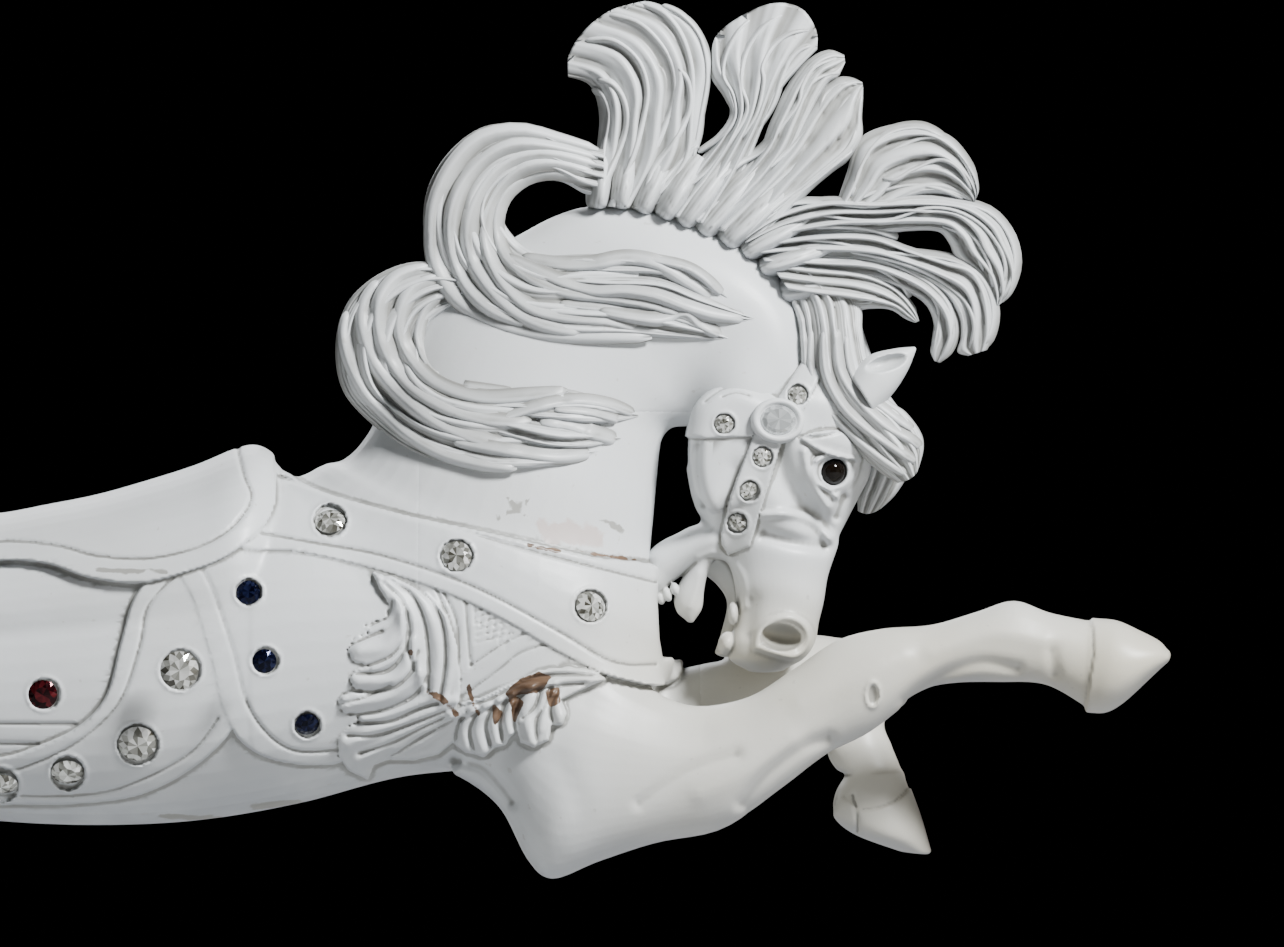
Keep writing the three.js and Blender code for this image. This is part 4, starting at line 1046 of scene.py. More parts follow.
def lathe(name, profile, steps):
    """A closed turned form about +Z from radius and height pairs that start and end on the axis."""
    made = bmesh.new()
    line = [made.verts.new((radius, 0, height)) for radius, height in profile]
    edges = [made.edges.new(pair) for pair in zip(line, line[1:])]
    bmesh.ops.spin(made, geom=line + edges, cent=(0, 0, 0), axis=(0, 0, 1), angle=2 * math.pi, steps=steps,
                   use_merge=True)
    bmesh.ops.remove_doubles(made, verts=made.verts, dist=1e-4)
    bmesh.ops.recalc_face_normals(made, faces=made.faces)
    return piece_from(made, name)


rosette = lathe("bridle_rosette_carving", ROSETTE_PROFILE, 64)
rosette.data.transform(Matrix.Diagonal((1, ROSETTE_FLATNESS, 1, 1)))
rosette_place = rosette_foot + rosette_out * ROSETTE_RISE
turned(rosette.data, rosette_place, rosette_out)
as_carving(rosette)


# The eyes: two balls of dark glass, almost black all through and polished, set with putty into the round
# sockets of the head so that a low dome of each stands out between the lids.

eye_glass = bpy.data.materials.new("eye_glass")
eye_glass.use_nodes = True
eye_nodes, eye_links = eye_glass.node_tree.nodes, eye_glass.node_tree.links
eye_shader = eye_nodes["Principled BSDF"]
eye_shader.inputs["Roughness"].default_value = 0.04
eye_shader.inputs["Specular IOR Level"].default_value = 0.2
eye_noise = eye_nodes.new("ShaderNodeTexNoise")
eye_noise.inputs["Scale"].default_value = 90.0
eye_tones = eye_nodes.new("ShaderNodeValToRGB")
eye_tones.color_ramp.elements[0].color = (0.002, 0.002, 0.002, 1)
eye_tones.color_ramp.elements[1].color = (0.008, 0.005, 0.003, 1)
eye_place = eye_nodes.new("ShaderNodeTexCoord")
eye_links.new(eye_place.outputs["Object"], eye_noise.inputs["Vector"])
eye_links.new(eye_noise.outputs["Fac"], eye_tones.inputs["Fac"])
eye_links.new(eye_tones.outputs["Color"], eye_shader.inputs["Base Color"])
for node, side in (("right_eye", -1), ("left_eye", 1)):
    made = bmesh.new()
    bmesh.ops.create_uvsphere(made, u_segments=40, v_segments=24, radius=EYE_RADIUS * MM)
    x, y, drop = mirrored(EYE_PLACE, side * (HEAD_MIDDLE - eye_depth))
    bmesh.ops.translate(made, verts=made.verts, vec=Vector((x, y, MANE_TOP - drop)) * MM)
    ball = piece_from(made, node + "_glass")
    ball.data.materials.append(eye_glass)
    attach(ball, "root")
    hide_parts(node)


# The mane, forelock and tail: locks carved as broad tongues from the same glued-up wood, each cut into
# smaller locks and then into strands with a gouge, and painted white. They are one with the neck, head and
# croup, and stand or lie with their roots on the crest.

solid = body_field < 0
met_at = np.where(solid.any(1), solid.argmax(1), -1)
first_in = np.take_along_axis(body_field, np.maximum(met_at, 0)[:, None, :], 1)[:, 0]
last_out = np.take_along_axis(body_field, np.maximum(met_at - 1, 0)[:, None, :], 1)[:, 0]
right_side = body_space["low"][1] + (met_at + first_in / np.maximum(last_out - first_in, 1e-6)) * BODY_VOXEL
right_side = np.where(met_at < 0, FAR_OFF, right_side)


def surface_y(x, drop):
    """How far out the body's right side lies at places in the side view."""
    places = np.stack([x, x, MANE_TOP - drop], -1).reshape(-1, 3)
    return read_map(right_side, body_space, places).reshape(x.shape)


LOBE_CREST = 0.72
TENT_CREST = 0.62


def carved_lock(left, right, thick, seed, end=None, parts=3, strands=4, rows=56, lean=(-10,), laid=False,
                deep=0.3, cut=1.6, sway=0.25, tent=False):
    """One lock between two edges: corners, faces, the painted shade of each corner, darkest in its cuts,
    and its front.
    """
    random = np.random.default_rng(seed)
    columns = parts * strands * 4 + 1
    along = np.linspace(0, 1, rows)
    a = smooth_line(left, along)[:, None]
    b = smooth_line(right, along)[:, None]
    step = np.linspace(0, 1, columns)
    across = step - 0.6 * np.sin(2 * math.pi * step) / (2 * math.pi)
    place = a + (b - a) * across[None, :, None]
    if end is not None:
        tip = smooth_line(end, across)
        straight = a[-1] + (b[-1] - a[-1]) * across[:, None]
        place = place + (along**3)[:, None, None] * (tip - straight)[None]
    hull = np.sqrt(np.clip(1 - (2 * across - 1) ** 2, 0, 1))
    if tent:
        hull = np.where(across < TENT_CREST, across / TENT_CREST, (1 - across) / (1 - TENT_CREST)) ** 1.25
    edges = [np.zeros(rows)]
    for k in range(1, parts):
        phase, turns = random.uniform(0, 6.28), random.uniform(0.6, 1.3)
        wander = np.sin(2 * math.pi * turns * along + phase) * np.sin(math.pi * along)
        edges.append((k + sway * wander) / parts)
    edges.append(np.ones(rows))
    lobe = np.zeros((rows, columns))
    strand = np.zeros((rows, columns))
    lift = np.ones((rows, columns))
    for k in range(parts):
        low, high = edges[k][:, None], edges[k + 1][:, None]
        local = (across[None] - low) / (high - low)
        mine = (local >= 0) & (local <= 1)
        within = local.clip(0, 1)
        rising = (within / LOBE_CREST) ** 1.3
        falling = np.sqrt((1 - ((within - LOBE_CREST) / (1 - LOBE_CREST)) ** 2).clip(0, 1))
        lobe = np.where(mine, np.where(within < LOBE_CREST, rising, falling), lobe)
        wave = within + along[:, None] * random.uniform(0.5, 1.4) + random.uniform(0, 1)
        bend = within + 0.07 * np.sin(2 * math.pi * wave)
        count = (bend * strands) % 1.0
        strand = np.where(mine, np.sqrt(np.clip(4 * count * (1 - count), 0, 1)), strand)
        lift = np.where(mine, random.uniform(0.86, 1.08), lift)
    thickness = smooth_line(thick, along)
    cuts = cut * (1 - strand) * np.minimum(hull * 2, 1)
    height = np.maximum(thickness * hull * lift * (1 - deep * (1 - lobe)) - cuts, 0)
    middle = np.broadcast_to(smooth_line(lean, along), (rows, columns)).copy()
    x, drop = place[..., 0], place[..., 1]
    if laid:
        middle = np.minimum(middle, surface_y(x, drop) + 2.5)
    front = np.stack([x, middle - height, MANE_TOP - drop], -1)
    back = np.stack([x, middle + height, MANE_TOP - drop], -1)[:, -2:0:-1]
    if laid:
        back = back[:, ::4]
    ring = np.concatenate([front, back], 1)
    count = ring.shape[1]
    grid = np.arange(rows * count).reshape(rows, count)
    nxt = np.roll(grid, -1, 1)
    faces = np.stack([nxt[:-1], grid[:-1], grid[1:], nxt[1:]], -1).reshape(-1, 4)
    # Painted shade: darker at the low side of each lobe and in the strand cuts, with a fixed share on the
    # back and the ends.
    shade = (1 - lobe) * 0.7 + (1 - strand) * 0.5
    behind = np.full((rows, back.shape[1]), 0.2) if laid else shade[:, -2:0:-1]
    shade = np.append(np.concatenate([shade, behind], 1).ravel(), [0.3, 0.3])
    corners = np.vstack([ring.reshape(-1, 3), ring[0].mean(0), ring[-1].mean(0)])
    start = np.stack([grid[0], nxt[0], np.full(count, len(corners) - 2)], 1)
    close = np.stack([nxt[-1], grid[-1], np.full(count, len(corners) - 1)], 1)
    return corners, [*faces.tolist(), *start.tolist(), *close.tolist()], shade, front


TAIL_END = -700.0
FRONT_STEP = 3.0
hair_front = np.full((640, 380), FAR_OFF)


def front_cell(x, drop):
    """The columns and rows of hair_front at places of the side view."""
    column = ((x - TAIL_END) / FRONT_STEP).round().astype(int)
    row = (drop / FRONT_STEP).round().astype(int)
    return column, row


def remember_front(front):
    """Notes how far out to the right a lock reaches, for what lies over it."""
    fine = front
    for axis in (0, 1):
        here = np.take(fine, range(fine.shape[axis] - 1), axis)
        there = np.take(fine, range(1, fine.shape[axis]), axis)
        fine = np.concatenate([fine, (there + here) / 2], axis)
    column, row = front_cell(fine[..., 0], MANE_TOP - fine[..., 2])
    column = column.clip(0, hair_front.shape[0] - 1)
    row = row.clip(0, hair_front.shape[1] - 1)
    np.minimum.at(hair_front, (column.ravel(), row.ravel()), fine[..., 1].ravel())


def hair_y(points):
    """How far out the hair lies at points of the side view, read with its nearest neighbours."""
    column, row = front_cell(points[:, 0], points[:, 1])
    around = np.stack([hair_front[column + i, row + j] for i in (-1, 0, 1) for j in (-1, 0, 1)])
    around = np.where(around > FAR_OFF / 2, np.nan, around)
    level = np.nanmedian(np.where(np.isnan(around).all(0), 0, around), 0)
    return np.convolve(np.pad(level, 2, mode="edge"), np.ones(5) / 5, "valid")


RIDGE_ROOT = 3


def ridge(points, half, rise, lean, seed, rows=36):
    """A raised strand that runs along points over the hair; with lean it goes through to the other side."""
    along = np.linspace(0, 1, rows)
    line = smooth_line(points, along)
    way = np.gradient(line, axis=0)
    way /= np.linalg.norm(way, axis=1)[:, None]
    taper = np.clip(np.minimum(along / 0.25, (1 - along) / 0.18), 0, 1)
    taper = np.sqrt(taper * (2 - taper))
    wide = 1.3 if lean is None else 1.0
    off = np.stack([way[:, 1], -way[:, 0]], 1) * (wide * half * (0.35 + 0.65 * taper))[:, None]
    top = hair_y(line)
    lift = rise * (taper * 1.4 - 0.4) * 1.3
    middle = top + RIDGE_ROOT if lean is None else np.full(rows, float(lean))
    thick = RIDGE_ROOT + lift if lean is None else np.maximum(lean - top + lift, RIDGE_ROOT)
    return carved_lock(line + off, line - off, thick, parts=1, strands=2, rows=rows, lean=middle, deep=0.0,
                       cut=1.0, tent=True, seed=seed)


def hair_piece(name, locks, ridges, lean=None):
    """Joins locks, and the ridges cut over them, into one mesh."""
    made = [carved_lock(**entry, seed=i + len(name)) for i, entry in enumerate(locks)]
    for *_, front in made:
        remember_front(front)
    made += [ridge(*entry, lean, seed=40 + i) for i, entry in enumerate(ridges)]
    corners, faces, shade, start = [], [], [], 0
    for points, polygons, painted_shade, _ in made:
        corners.append(points)
        faces += [[n + start for n in polygon] for polygon in polygons]
        shade.append(painted_shade)
        start += len(points)
    as_carving(mesh_piece(name, np.vstack(corners), faces, {"painted_shade": np.concatenate(shade)}))


ON_NECK = dict(lean=[-30], laid=True, deep=0.45, cut=2.0)
LOWER_CURL = [
    dict(left=[[462, 272], [420, 262], [380, 274], [348, 303], [336, 345], [343, 390], [372, 424],
               [412, 452], [460, 467], [520, 468]],
         right=[[466, 300], [446, 311], [428, 326], [422, 346], [424, 364], [436, 379], [456, 389],
                [480, 391], [510, 391], [548, 389]],
         thick=[16, 20, 22, 22, 20, 18, 8], parts=5, strands=4, rows=76, **ON_NECK),
    dict(left=[[480, 394], [540, 388], [575, 390], [607, 400]],
         right=[[480, 402], [540, 403], [575, 402], [606, 403]],
         thick=[6, 13, 8], parts=1, **ON_NECK),
    dict(left=[[480, 402], [550, 399], [600, 400], [639, 413]],
         right=[[480, 410], [550, 421], [600, 425], [638, 418]],
         thick=[6, 18, 16, 4], parts=2, **ON_NECK),
    dict(left=[[460, 412], [530, 419], [580, 428], [622, 437]],
         right=[[460, 424], [530, 444], [580, 449], [620, 441]],
         thick=[6, 20, 17, 4], parts=2, **ON_NECK),
    dict(left=[[440, 430], [500, 442], [550, 448], [600, 450]],
         right=[[440, 452], [490, 468], [545, 467], [599, 453]],
         thick=[6, 19, 15, 3], parts=2, **ON_NECK),
]
LOWER_RIDGES = [
    ([[349, 312], [346, 335], [352, 362], [367, 392], [387, 413], [412, 435], [445, 453], [482, 463],
      [518, 467]], 7, 5),
    ([[380, 282], [367, 305], [367, 336], [380, 367], [405, 396], [437, 421], [472, 437],
      [505, 446]], 8, 6),
    ([[430, 268], [400, 278], [383, 300], [381, 328], [391, 358], [413, 387], [445, 407], [487, 420],
      [532, 423]], 8, 6),
    ([[437, 278], [414, 290], [402, 314], [403, 340], [418, 366], [442, 386], [482, 398], [530, 396],
      [568, 392]], 7, 5),
    ([[440, 296], [426, 312], [419, 338], [430, 366], [452, 383], [482, 389], [514, 392]], 5, 4),
    ([[488, 424], [525, 411], [556, 403], [582, 401], [608, 405], [634, 414]], 6, 5),
    ([[540, 422], [567, 425], [594, 434], [616, 440]], 7, 5), ([[555, 409], [592, 413], [618, 420]], 5, 4),
    ([[455, 441], [505, 450], [555, 457], [590, 453]], 6, 4),
]
UPPER_CURL = [
    dict(left=[[604, 150], [570, 142], [530, 126], [485, 127], [448, 154], [426, 196], [426, 245],
               [446, 288], [490, 320], [550, 335], [620, 336]],
         right=[[604, 200], [584, 194], [560, 182], [530, 182], [508, 196], [502, 214], [510, 232],
                [530, 250], [565, 262], [600, 254], [645, 255]],
         thick=[18, 22, 24, 24, 22, 20, 8], parts=5, strands=4, rows=84, lean=[-26], laid=True, deep=0.45,
         cut=2.0),
    dict(left=[[540, 256], [600, 254], [660, 259], [697, 267], [728, 297]],
         right=[[540, 264], [600, 274], [655, 276], [688, 284], [726, 301]],
         thick=[6, 17, 17, 13, 3], parts=2, **ON_NECK),
    dict(left=[[530, 276], [600, 275], [660, 278], [700, 294], [754, 318]],
         right=[[530, 286], [600, 303], [650, 306], [700, 324], [753, 322]],
         thick=[6, 20, 21, 17, 3], parts=3, **ON_NECK),
    dict(left=[[510, 298], [580, 304], [640, 309], [690, 320], [728, 337]],
         right=[[505, 316], [560, 335], [620, 337], [680, 340], [727, 341]],
         thick=[6, 19, 19, 15, 3], parts=2, **ON_NECK),
]
UPPER_RIDGES = [
    ([[598, 152], [560, 142], [520, 133], [482, 140], [455, 166], [438, 200], [434, 235], [438, 266],
      [455, 295], [486, 318], [522, 330], [562, 335], [610, 336], [652, 337]], 8, 5),
    ([[598, 160], [555, 150], [515, 147], [484, 162], [461, 191], [452, 225], [455, 258], [469, 288],
      [493, 310], [530, 325]], 7, 6),
    ([[596, 167], [555, 157], [521, 159], [494, 176], [476, 205], [470, 235], [476, 265], [496, 294],
      [520, 314], [552, 327], [582, 332]], 8, 6),
    ([[594, 175], [555, 165], [525, 169], [504, 186], [490, 210], [486, 238], [494, 267], [510, 291],
      [532, 309], [562, 317], [605, 321], [640, 329]], 7, 6),
    ([[592, 185], [560, 175], [532, 177], [510, 191], [499, 211], [498, 235], [508, 259], [532, 279],
      [562, 292], [597, 297], [640, 303], [680, 314], [705, 327], [722, 336]], 6, 5),
    ([[505, 257], [535, 271], [567, 284], [595, 291], [624, 290], [655, 295], [685, 306], [712, 314],
      [745, 319]], 7, 6),
    ([[522, 258], [555, 265], [590, 265], [625, 259], [657, 264], [686, 281], [712, 298]], 7, 5),
    ([[632, 258], [662, 262], [687, 268], [705, 279], [722, 295]], 5, 5),
    ([[600, 312], [655, 320], [685, 313], [700, 325], [720, 335]], 6, 5),
    ([[560, 305], [610, 309], [650, 312], [690, 322], [712, 332]], 5, 4),
]
STANDING = [
    dict(left=[[590, 206], [596, 155], [599, 115], [590, 86], [568, 77]],
         right=[[656, 210], [698, 150], [706, 100], [712, 58], [690, 17], [645, 1]],
         end=[[568, 77], [569, 55], [585, 30], [612, 10], [645, 1]],
         thick=[36, 33, 30, 26, 20, 9], parts=5, strands=3, rows=70, lean=[-6], deep=0.55, cut=2.2,
         sway=0.1),
    dict(left=[[656, 212], [690, 170], [716, 141], [731, 118], [724, 98], [711, 78], [711, 60]],
         right=[[716, 228], [740, 185], [753, 152], [764, 125], [780, 92], [798, 70], [817, 50]],
         end=[[711, 60], [715, 38], [735, 20], [770, 4], [800, 8], [816, 30], [817, 50]],
         thick=[38, 34, 30, 26, 20, 9], parts=5, strands=3, rows=70, lean=[-6], deep=0.55, cut=2.2,
         sway=0.1),
    dict(left=[[684, 217], [730, 182], [758, 152], [770, 122], [788, 84], [808, 60], [828, 50], [844, 55]],
         right=[[730, 236], [764, 192], [792, 152], [808, 120], [818, 100], [828, 84], [838, 77],
                [845, 63]],
         thick=[38, 34, 31, 26, 20, 6], parts=3, strands=3, rows=60, lean=[-8], deep=0.5, cut=2.2),
    dict(left=[[708, 226], [750, 184], [786, 142], [806, 110], [820, 90], [836, 78], [850, 77], [862, 82]],
         right=[[760, 246], [806, 196], [832, 173], [849, 160], [862, 138], [862, 117], [863, 100],
                [863, 88]],
         thick=[38, 34, 31, 26, 20, 7], parts=3, strands=3, rows=60, lean=[-6], deep=0.5, cut=2.2),
]
ROOTS = [((597, 206), (604, 150), 22), ((619, 206), (630, 150), 23), ((641, 210), (668, 150), 23),
         ((663, 215), (702, 152), 24), ((683, 222), (736, 150), 25), ((703, 231), (770, 152), 26),
         ((726, 241), (796, 172), 28), ((746, 252), (826, 206), 24), ((763, 268), (850, 238), 24),
         ((782, 292), (866, 276), 28)]
ROOT_SHARES = (0, 0.1, 0.5, 1.0)
ROOT_WIDTHS = (0.5, 1.05, 1.15, 0.7)
for (x0, drop0), (x1, drop1), wide in ROOTS:
    way = np.array([x1 - x0, drop1 - drop0], float)
    turn = np.array([way[1], -way[0]]) / np.linalg.norm(way) * wide / 2
    line = [np.array([x0, drop0]) + way * (share - 0.06) for share in ROOT_SHARES]
    STANDING.append(dict(left=[point + turn * width for point, width in zip(line, ROOT_WIDTHS)],
                         right=[point - turn * width for point, width in zip(line, ROOT_WIDTHS)],
                         thick=[12, 40, 42, 10], parts=1, strands=6, rows=32, lean=[-8], cut=2.2))
STANDING_RIDGES = [
    ([[597, 196], [611, 165], [625, 130], [624, 105], [612, 86], [596, 81]], 8, 6),
    ([[597, 190], [603, 150], [608, 118], [603, 98], [593, 87]], 5, 5),
    ([[612, 198], [630, 160], [642, 120], [646, 88], [636, 60], [612, 42], [584, 42]], 7, 8),
    ([[628, 203], [645, 165], [664, 125], [674, 88], [666, 55], [640, 26], (606, 15)], 8, 8),
    ([[655, 198], [684, 160], [690, 115], [691, 75], [682, 40], [664, 15], [642, 5]], 7, 7),
    ([[640, 203], [652, 170], [672, 142], [688, 112], [688, 86], [675, 66]], 7, 8),
    ([[692, 160], [699, 120], [706, 75], [700, 40], [682, 17], [662, 6]], 5, 5),
    ([[650, 196], [672, 170], [688, 152], [698, 144]], 5, 5),
    ([[698, 152], [720, 138], [734, 118], [732, 96], [722, 76], [726, 52], [738, 30], [750, 19]], 5, 6),
    ([[656, 204], [698, 178], [724, 148], [746, 112], [740, 88], [741, 66], [749, 44], [764, 25],
      [784, 13]], 6, 7),
    ([[740, 140], [756, 112], [762, 84], [761, 66], [772, 46], [790, 33], [810, 29]], 6, 7),
    ([[758, 128], [772, 104], [780, 80], [788, 61], [800, 49], [812, 45]], 5, 6),
    ([[684, 216], [712, 186], [738, 164], [762, 150], [782, 124], [797, 104], [801, 86], [813, 67],
      [838, 57]], 6, 7),
    ([[790, 112], [800, 97], [814, 80], [828, 74], [840, 72]], 5, 5),
    ([[708, 230], [732, 198], [760, 173], [788, 150], [815, 116], [824, 94], [840, 83], [858, 84]], 6, 7),
    ([[720, 232], [752, 202], [780, 178], [812, 146], [835, 114], [847, 97], [859, 92]], 6, 6),
    ([[740, 240], [772, 208], [800, 187], [826, 166], [846, 148], [856, 128]], 6, 6),
    ([[770, 214], [800, 192], [830, 168], [852, 150]], 4, 5),
]
FORWARD = [
    dict(left=[[836, 204], [846, 175], [858, 140], [890, 125], [928, 125], [957, 143], [974, 168],
               [979, 188], [975, 201]],
         right=[[872, 212], [890, 206], [908, 200], [925, 196], [940, 196], [953, 198], [963, 200],
                [970, 203], [974, 206]],
         thick=[26, 27, 26, 22, 6], parts=4, strands=3, rows=60, lean=[-6], deep=0.5, cut=2.2),
    dict(left=[[740, 238], [775, 212], [820, 197], [870, 198], [920, 196], [968, 200], [1000, 218],
               [1014, 243], [1020, 270], [1013, 292], [998, 306]],
         right=[[752, 250], [795, 243], [845, 238], [885, 234], [912, 231], [938, 232], [949, 244],
                [955, 258], [975, 275], [989, 295], [996, 307]],
         thick=[36, 33, 30, 27, 22, 6], parts=4, strands=3, rows=80, lean=[-6], deep=0.5, cut=2.2),
    dict(left=[[752, 240], [820, 230], [870, 231], [906, 245], [945, 257], [975, 262], [992, 288],
               [998, 325], [987, 350]],
         right=[[766, 262], [820, 262], [870, 265], [910, 276], [943, 294], [958, 318], [960, 338],
                [957, 352], [968, 356]],
         thick=[36, 33, 29, 26, 20, 7], parts=3, strands=3, rows=70, lean=[-8], deep=0.5, cut=2.2),
    dict(left=[[760, 254], [820, 257], [870, 259], [908, 270], [937, 287], [956, 311], [960, 332],
               [953, 352], [940, 363]],
         right=[[770, 272], [820, 276], [870, 281], [900, 290], [921, 301], [931, 315], [934, 335],
                [930, 350], [934, 361]],
         thick=[38, 34, 30, 24, 18, 7], parts=2, strands=3, rows=70, lean=[-10], deep=0.5, cut=2.2),
    dict(left=[[764, 256], [810, 262], [860, 269], [890, 282], [906, 296], [915, 309], [919, 321]],
         right=[[797, 303], [822, 309], [850, 312], [870, 309], [890, 310], [905, 319], [915, 323]],
         thick=[38, 34, 28, 20, 5], parts=4, strands=3, rows=56, lean=[-14]),
]
FORWARD_RIDGES = [
    ([[850, 197], [858, 170], [871, 147], [892, 131], [920, 127], [944, 137]], 6, 5),
    ([[854, 196], [869, 176], [883, 157], [906, 143], [930, 136], [950, 143], [968, 166],
      [975, 188]], 6, 6),
    ([[882, 177], [894, 179], [912, 169], [940, 159], [960, 169], [972, 190]], 6, 7),
    ([[860, 198], [882, 189], [912, 184], [940, 188], [964, 198]], 6, 5),
    ([[762, 222], [790, 204], [830, 203], [870, 206], [910, 199], [950, 201], [988, 211], [1009, 234],
      [1016, 262], [1009, 288], [998, 302]], 6, 6),
    ([[770, 230], [810, 214], [850, 219], [890, 219], [922, 208], [952, 209], [980, 223], [1000, 247],
      [1006, 270], [1000, 294]], 6, 6),
    ([[930, 216], [954, 221], [976, 239], [989, 262], [994, 288]], 6, 6),
    ([[942, 226], [958, 232], [974, 250], [984, 272]], 4, 5),
    ([[750, 242], [780, 229], [830, 226], [870, 229], [898, 238]], 6, 6),
    ([[758, 250], [790, 240], [830, 241], [870, 250], [912, 254], [950, 259], [975, 271], [989, 290],
      [994, 314], [990, 336], [982, 348]], 6, 6),
    ([[850, 252], [882, 257], [920, 269], [948, 285], [967, 303], [975, 326], [970, 350]], 6, 7),
    ([[870, 256], [900, 267], [930, 283], [948, 303], [953, 326], [945, 352]], 6, 7),
    ([[890, 264], [916, 281], [935, 300], [939, 322], [934, 352]], 5, 5),
    ([[766, 260], [810, 260], [850, 260], [880, 269], [902, 285], [909, 298]], 6, 6),
    ([[772, 268], [810, 272], [850, 273], [884, 287], [903, 299], [915, 314]], 5, 5),
    ([[782, 282], [820, 289], [860, 292], [890, 297], [906, 308]], 5, 5),
    ([[792, 294], [820, 301], [850, 303], [872, 302]], 4, 4),
]
FORELOCK = [
    dict(left=[[770, 264], [791, 294], [801, 325], [802, 360], [807, 388], [820, 410], [840, 432],
               [860, 455], [880, 473], [897, 483]],
         right=[[838, 278], [860, 304], [862, 330], [866, 356], [873, 378], [888, 400], [905, 412],
                [920, 432], [923, 448], [918, 468]],
         end=[[897, 483], [907, 480], [915, 474], [918, 468]],
         thick=[30, 28, 24, 24, 24, 24, 18], parts=5, strands=4, rows=84, lean=[-8, -34, -42, -42, -42],
         deep=0.25,
         cut=2.0),
    dict(left=[[812, 320], [840, 380], [862, 430], [862, 470], [858, 495], [858, 511]],
         right=[[860, 320], [884, 385], [916, 432], [914, 462], [898, 492], [882, 508]],
         end=[[858, 511], [866, 514], [875, 512], [882, 508]],
         thick=[30, 30, 32, 30, 20], parts=4, strands=3, rows=60, lean=[22]),
]
FORELOCK_RIDGES = [
    ([[794, 300], [802, 318], [805, 342], [806, 372]], 4, 4),
    ([[812, 330], [812, 370], [824, 402], [850, 432], [880, 457], [905, 474]], 5, 5),
    ([[824, 330], [826, 372], [842, 405], [868, 430], [897, 450], [915, 462]], 5, 5),
    ([[836, 330], [840, 370], [858, 400], [884, 425], [910, 440], [919, 448]], 5, 5),
    ([[846, 335], [851, 370], [868, 396], [892, 416], [912, 430]], 5, 4),
]
TAIL = [
    dict(left=[[-410, 585], [-470, 562], [-522, 574], [-564, 622], [-586, 700], [-588, 790], [-570, 880],
               [-572, 960], [-610, 1030]],
         right=[[-420, 650], [-466, 634], [-494, 654], [-512, 704], [-520, 762], [-512, 830], [-500, 900],
                [-518, 970], [-602, 1036]],
         thick=[30, 34, 34, 30, 24, 6], parts=4, strands=3, rows=70, lean=[0]),
    dict(left=[[-430, 600], [-490, 640], [-516, 720], [-516, 800], [-494, 880], [-490, 950], [-520, 1012]],
         right=[[-435, 655], [-460, 690], [-470, 750], [-466, 820], [-450, 880], [-456, 950], [-515, 1018]],
         thick=[28, 30, 28, 22, 6], parts=3, strands=3, rows=60, lean=[0]),
    dict(left=[[-535, 590], [-590, 680], [-612, 770], [-605, 860], [-618, 930], [-660, 985]],
         right=[[-535, 660], [-560, 720], [-575, 790], [-570, 860], [-586, 925], [-655, 990]],
         thick=[20, 26, 26, 20, 6], parts=3, strands=3, rows=60, lean=[0]),
]
TAIL_RIDGES = [
    ([[-440, 600], [-490, 600], [-528, 640], [-548, 710], [-552, 800], [-540, 890], [-548, 970],
      [-596, 1028]], 9, 6),
    ([[-450, 620], [-500, 640], [-524, 710], [-530, 800], [-520, 890], [-532, 960]], 8, 6),
    ([[-550, 640], [-588, 720], [-596, 800], [-590, 880], [-610, 950], [-645, 985]], 7, 5),
    ([[-450, 650], [-484, 720], [-488, 800], [-474, 880], [-476, 950], [-508, 1008]], 7, 5),
]
hair_piece("neck_locks_carving", LOWER_CURL + UPPER_CURL, LOWER_RIDGES + UPPER_RIDGES)
hair_piece("standing_mane_carving", STANDING, STANDING_RIDGES, lean=-7)
hair_piece("forward_mane_carving", FORWARD, FORWARD_RIDGES, lean=-7)
hair_piece("forelock_carving", FORELOCK, FORELOCK_RIDGES)
hair_piece("tail_carving", TAIL, TAIL_RIDGES, lean=0)


# The stones: cut glass, clear, dark blue or dark red, silvered behind and set into round holes with putty.
# Each has a table, crown and girdle facets and a pointed back; the rosette's is wider, oval and frosted.
# Their sparkle is painted: each facet's colour is a lighter or darker reflection tone.


def silvered_glass(name, dark, middle, bright, gloss):
    """Silvered glass whose facets carry painted reflections: each facet's colour is a tone from dark
    through middle to bright.
    """
    glass = bpy.data.materials.new(name)
    glass.use_nodes = True
    nodes, links = glass.node_tree.nodes, glass.node_tree.links
    shader = nodes["Principled BSDF"]
    shader.inputs["Roughness"].default_value = 0.08
    shader.inputs["Metallic"].default_value = 0.4
    shader.inputs["Specular IOR Level"].default_value = gloss
    shader.inputs["Coat Weight"].default_value = gloss
    shader.inputs["Coat Roughness"].default_value = 0.03
    # Painted reflection: the facet value picks each facet's colour, from dark to bright.
    tone = nodes.new("ShaderNodeAttribute")
    tone.attribute_name = "facet"
    ramp = nodes.new("ShaderNodeValToRGB")
    ramp.color_ramp.elements[0].color = (*dark, 1)
    ramp.color_ramp.elements[1].color = (*bright, 1)
    half_way = ramp.color_ramp.elements.new(0.5)
    half_way.color = (*middle, 1)
    links.new(tone.outputs["Fac"], ramp.inputs["Fac"])
    links.new(ramp.outputs["Color"], shader.inputs["Base Color"])
    return glass


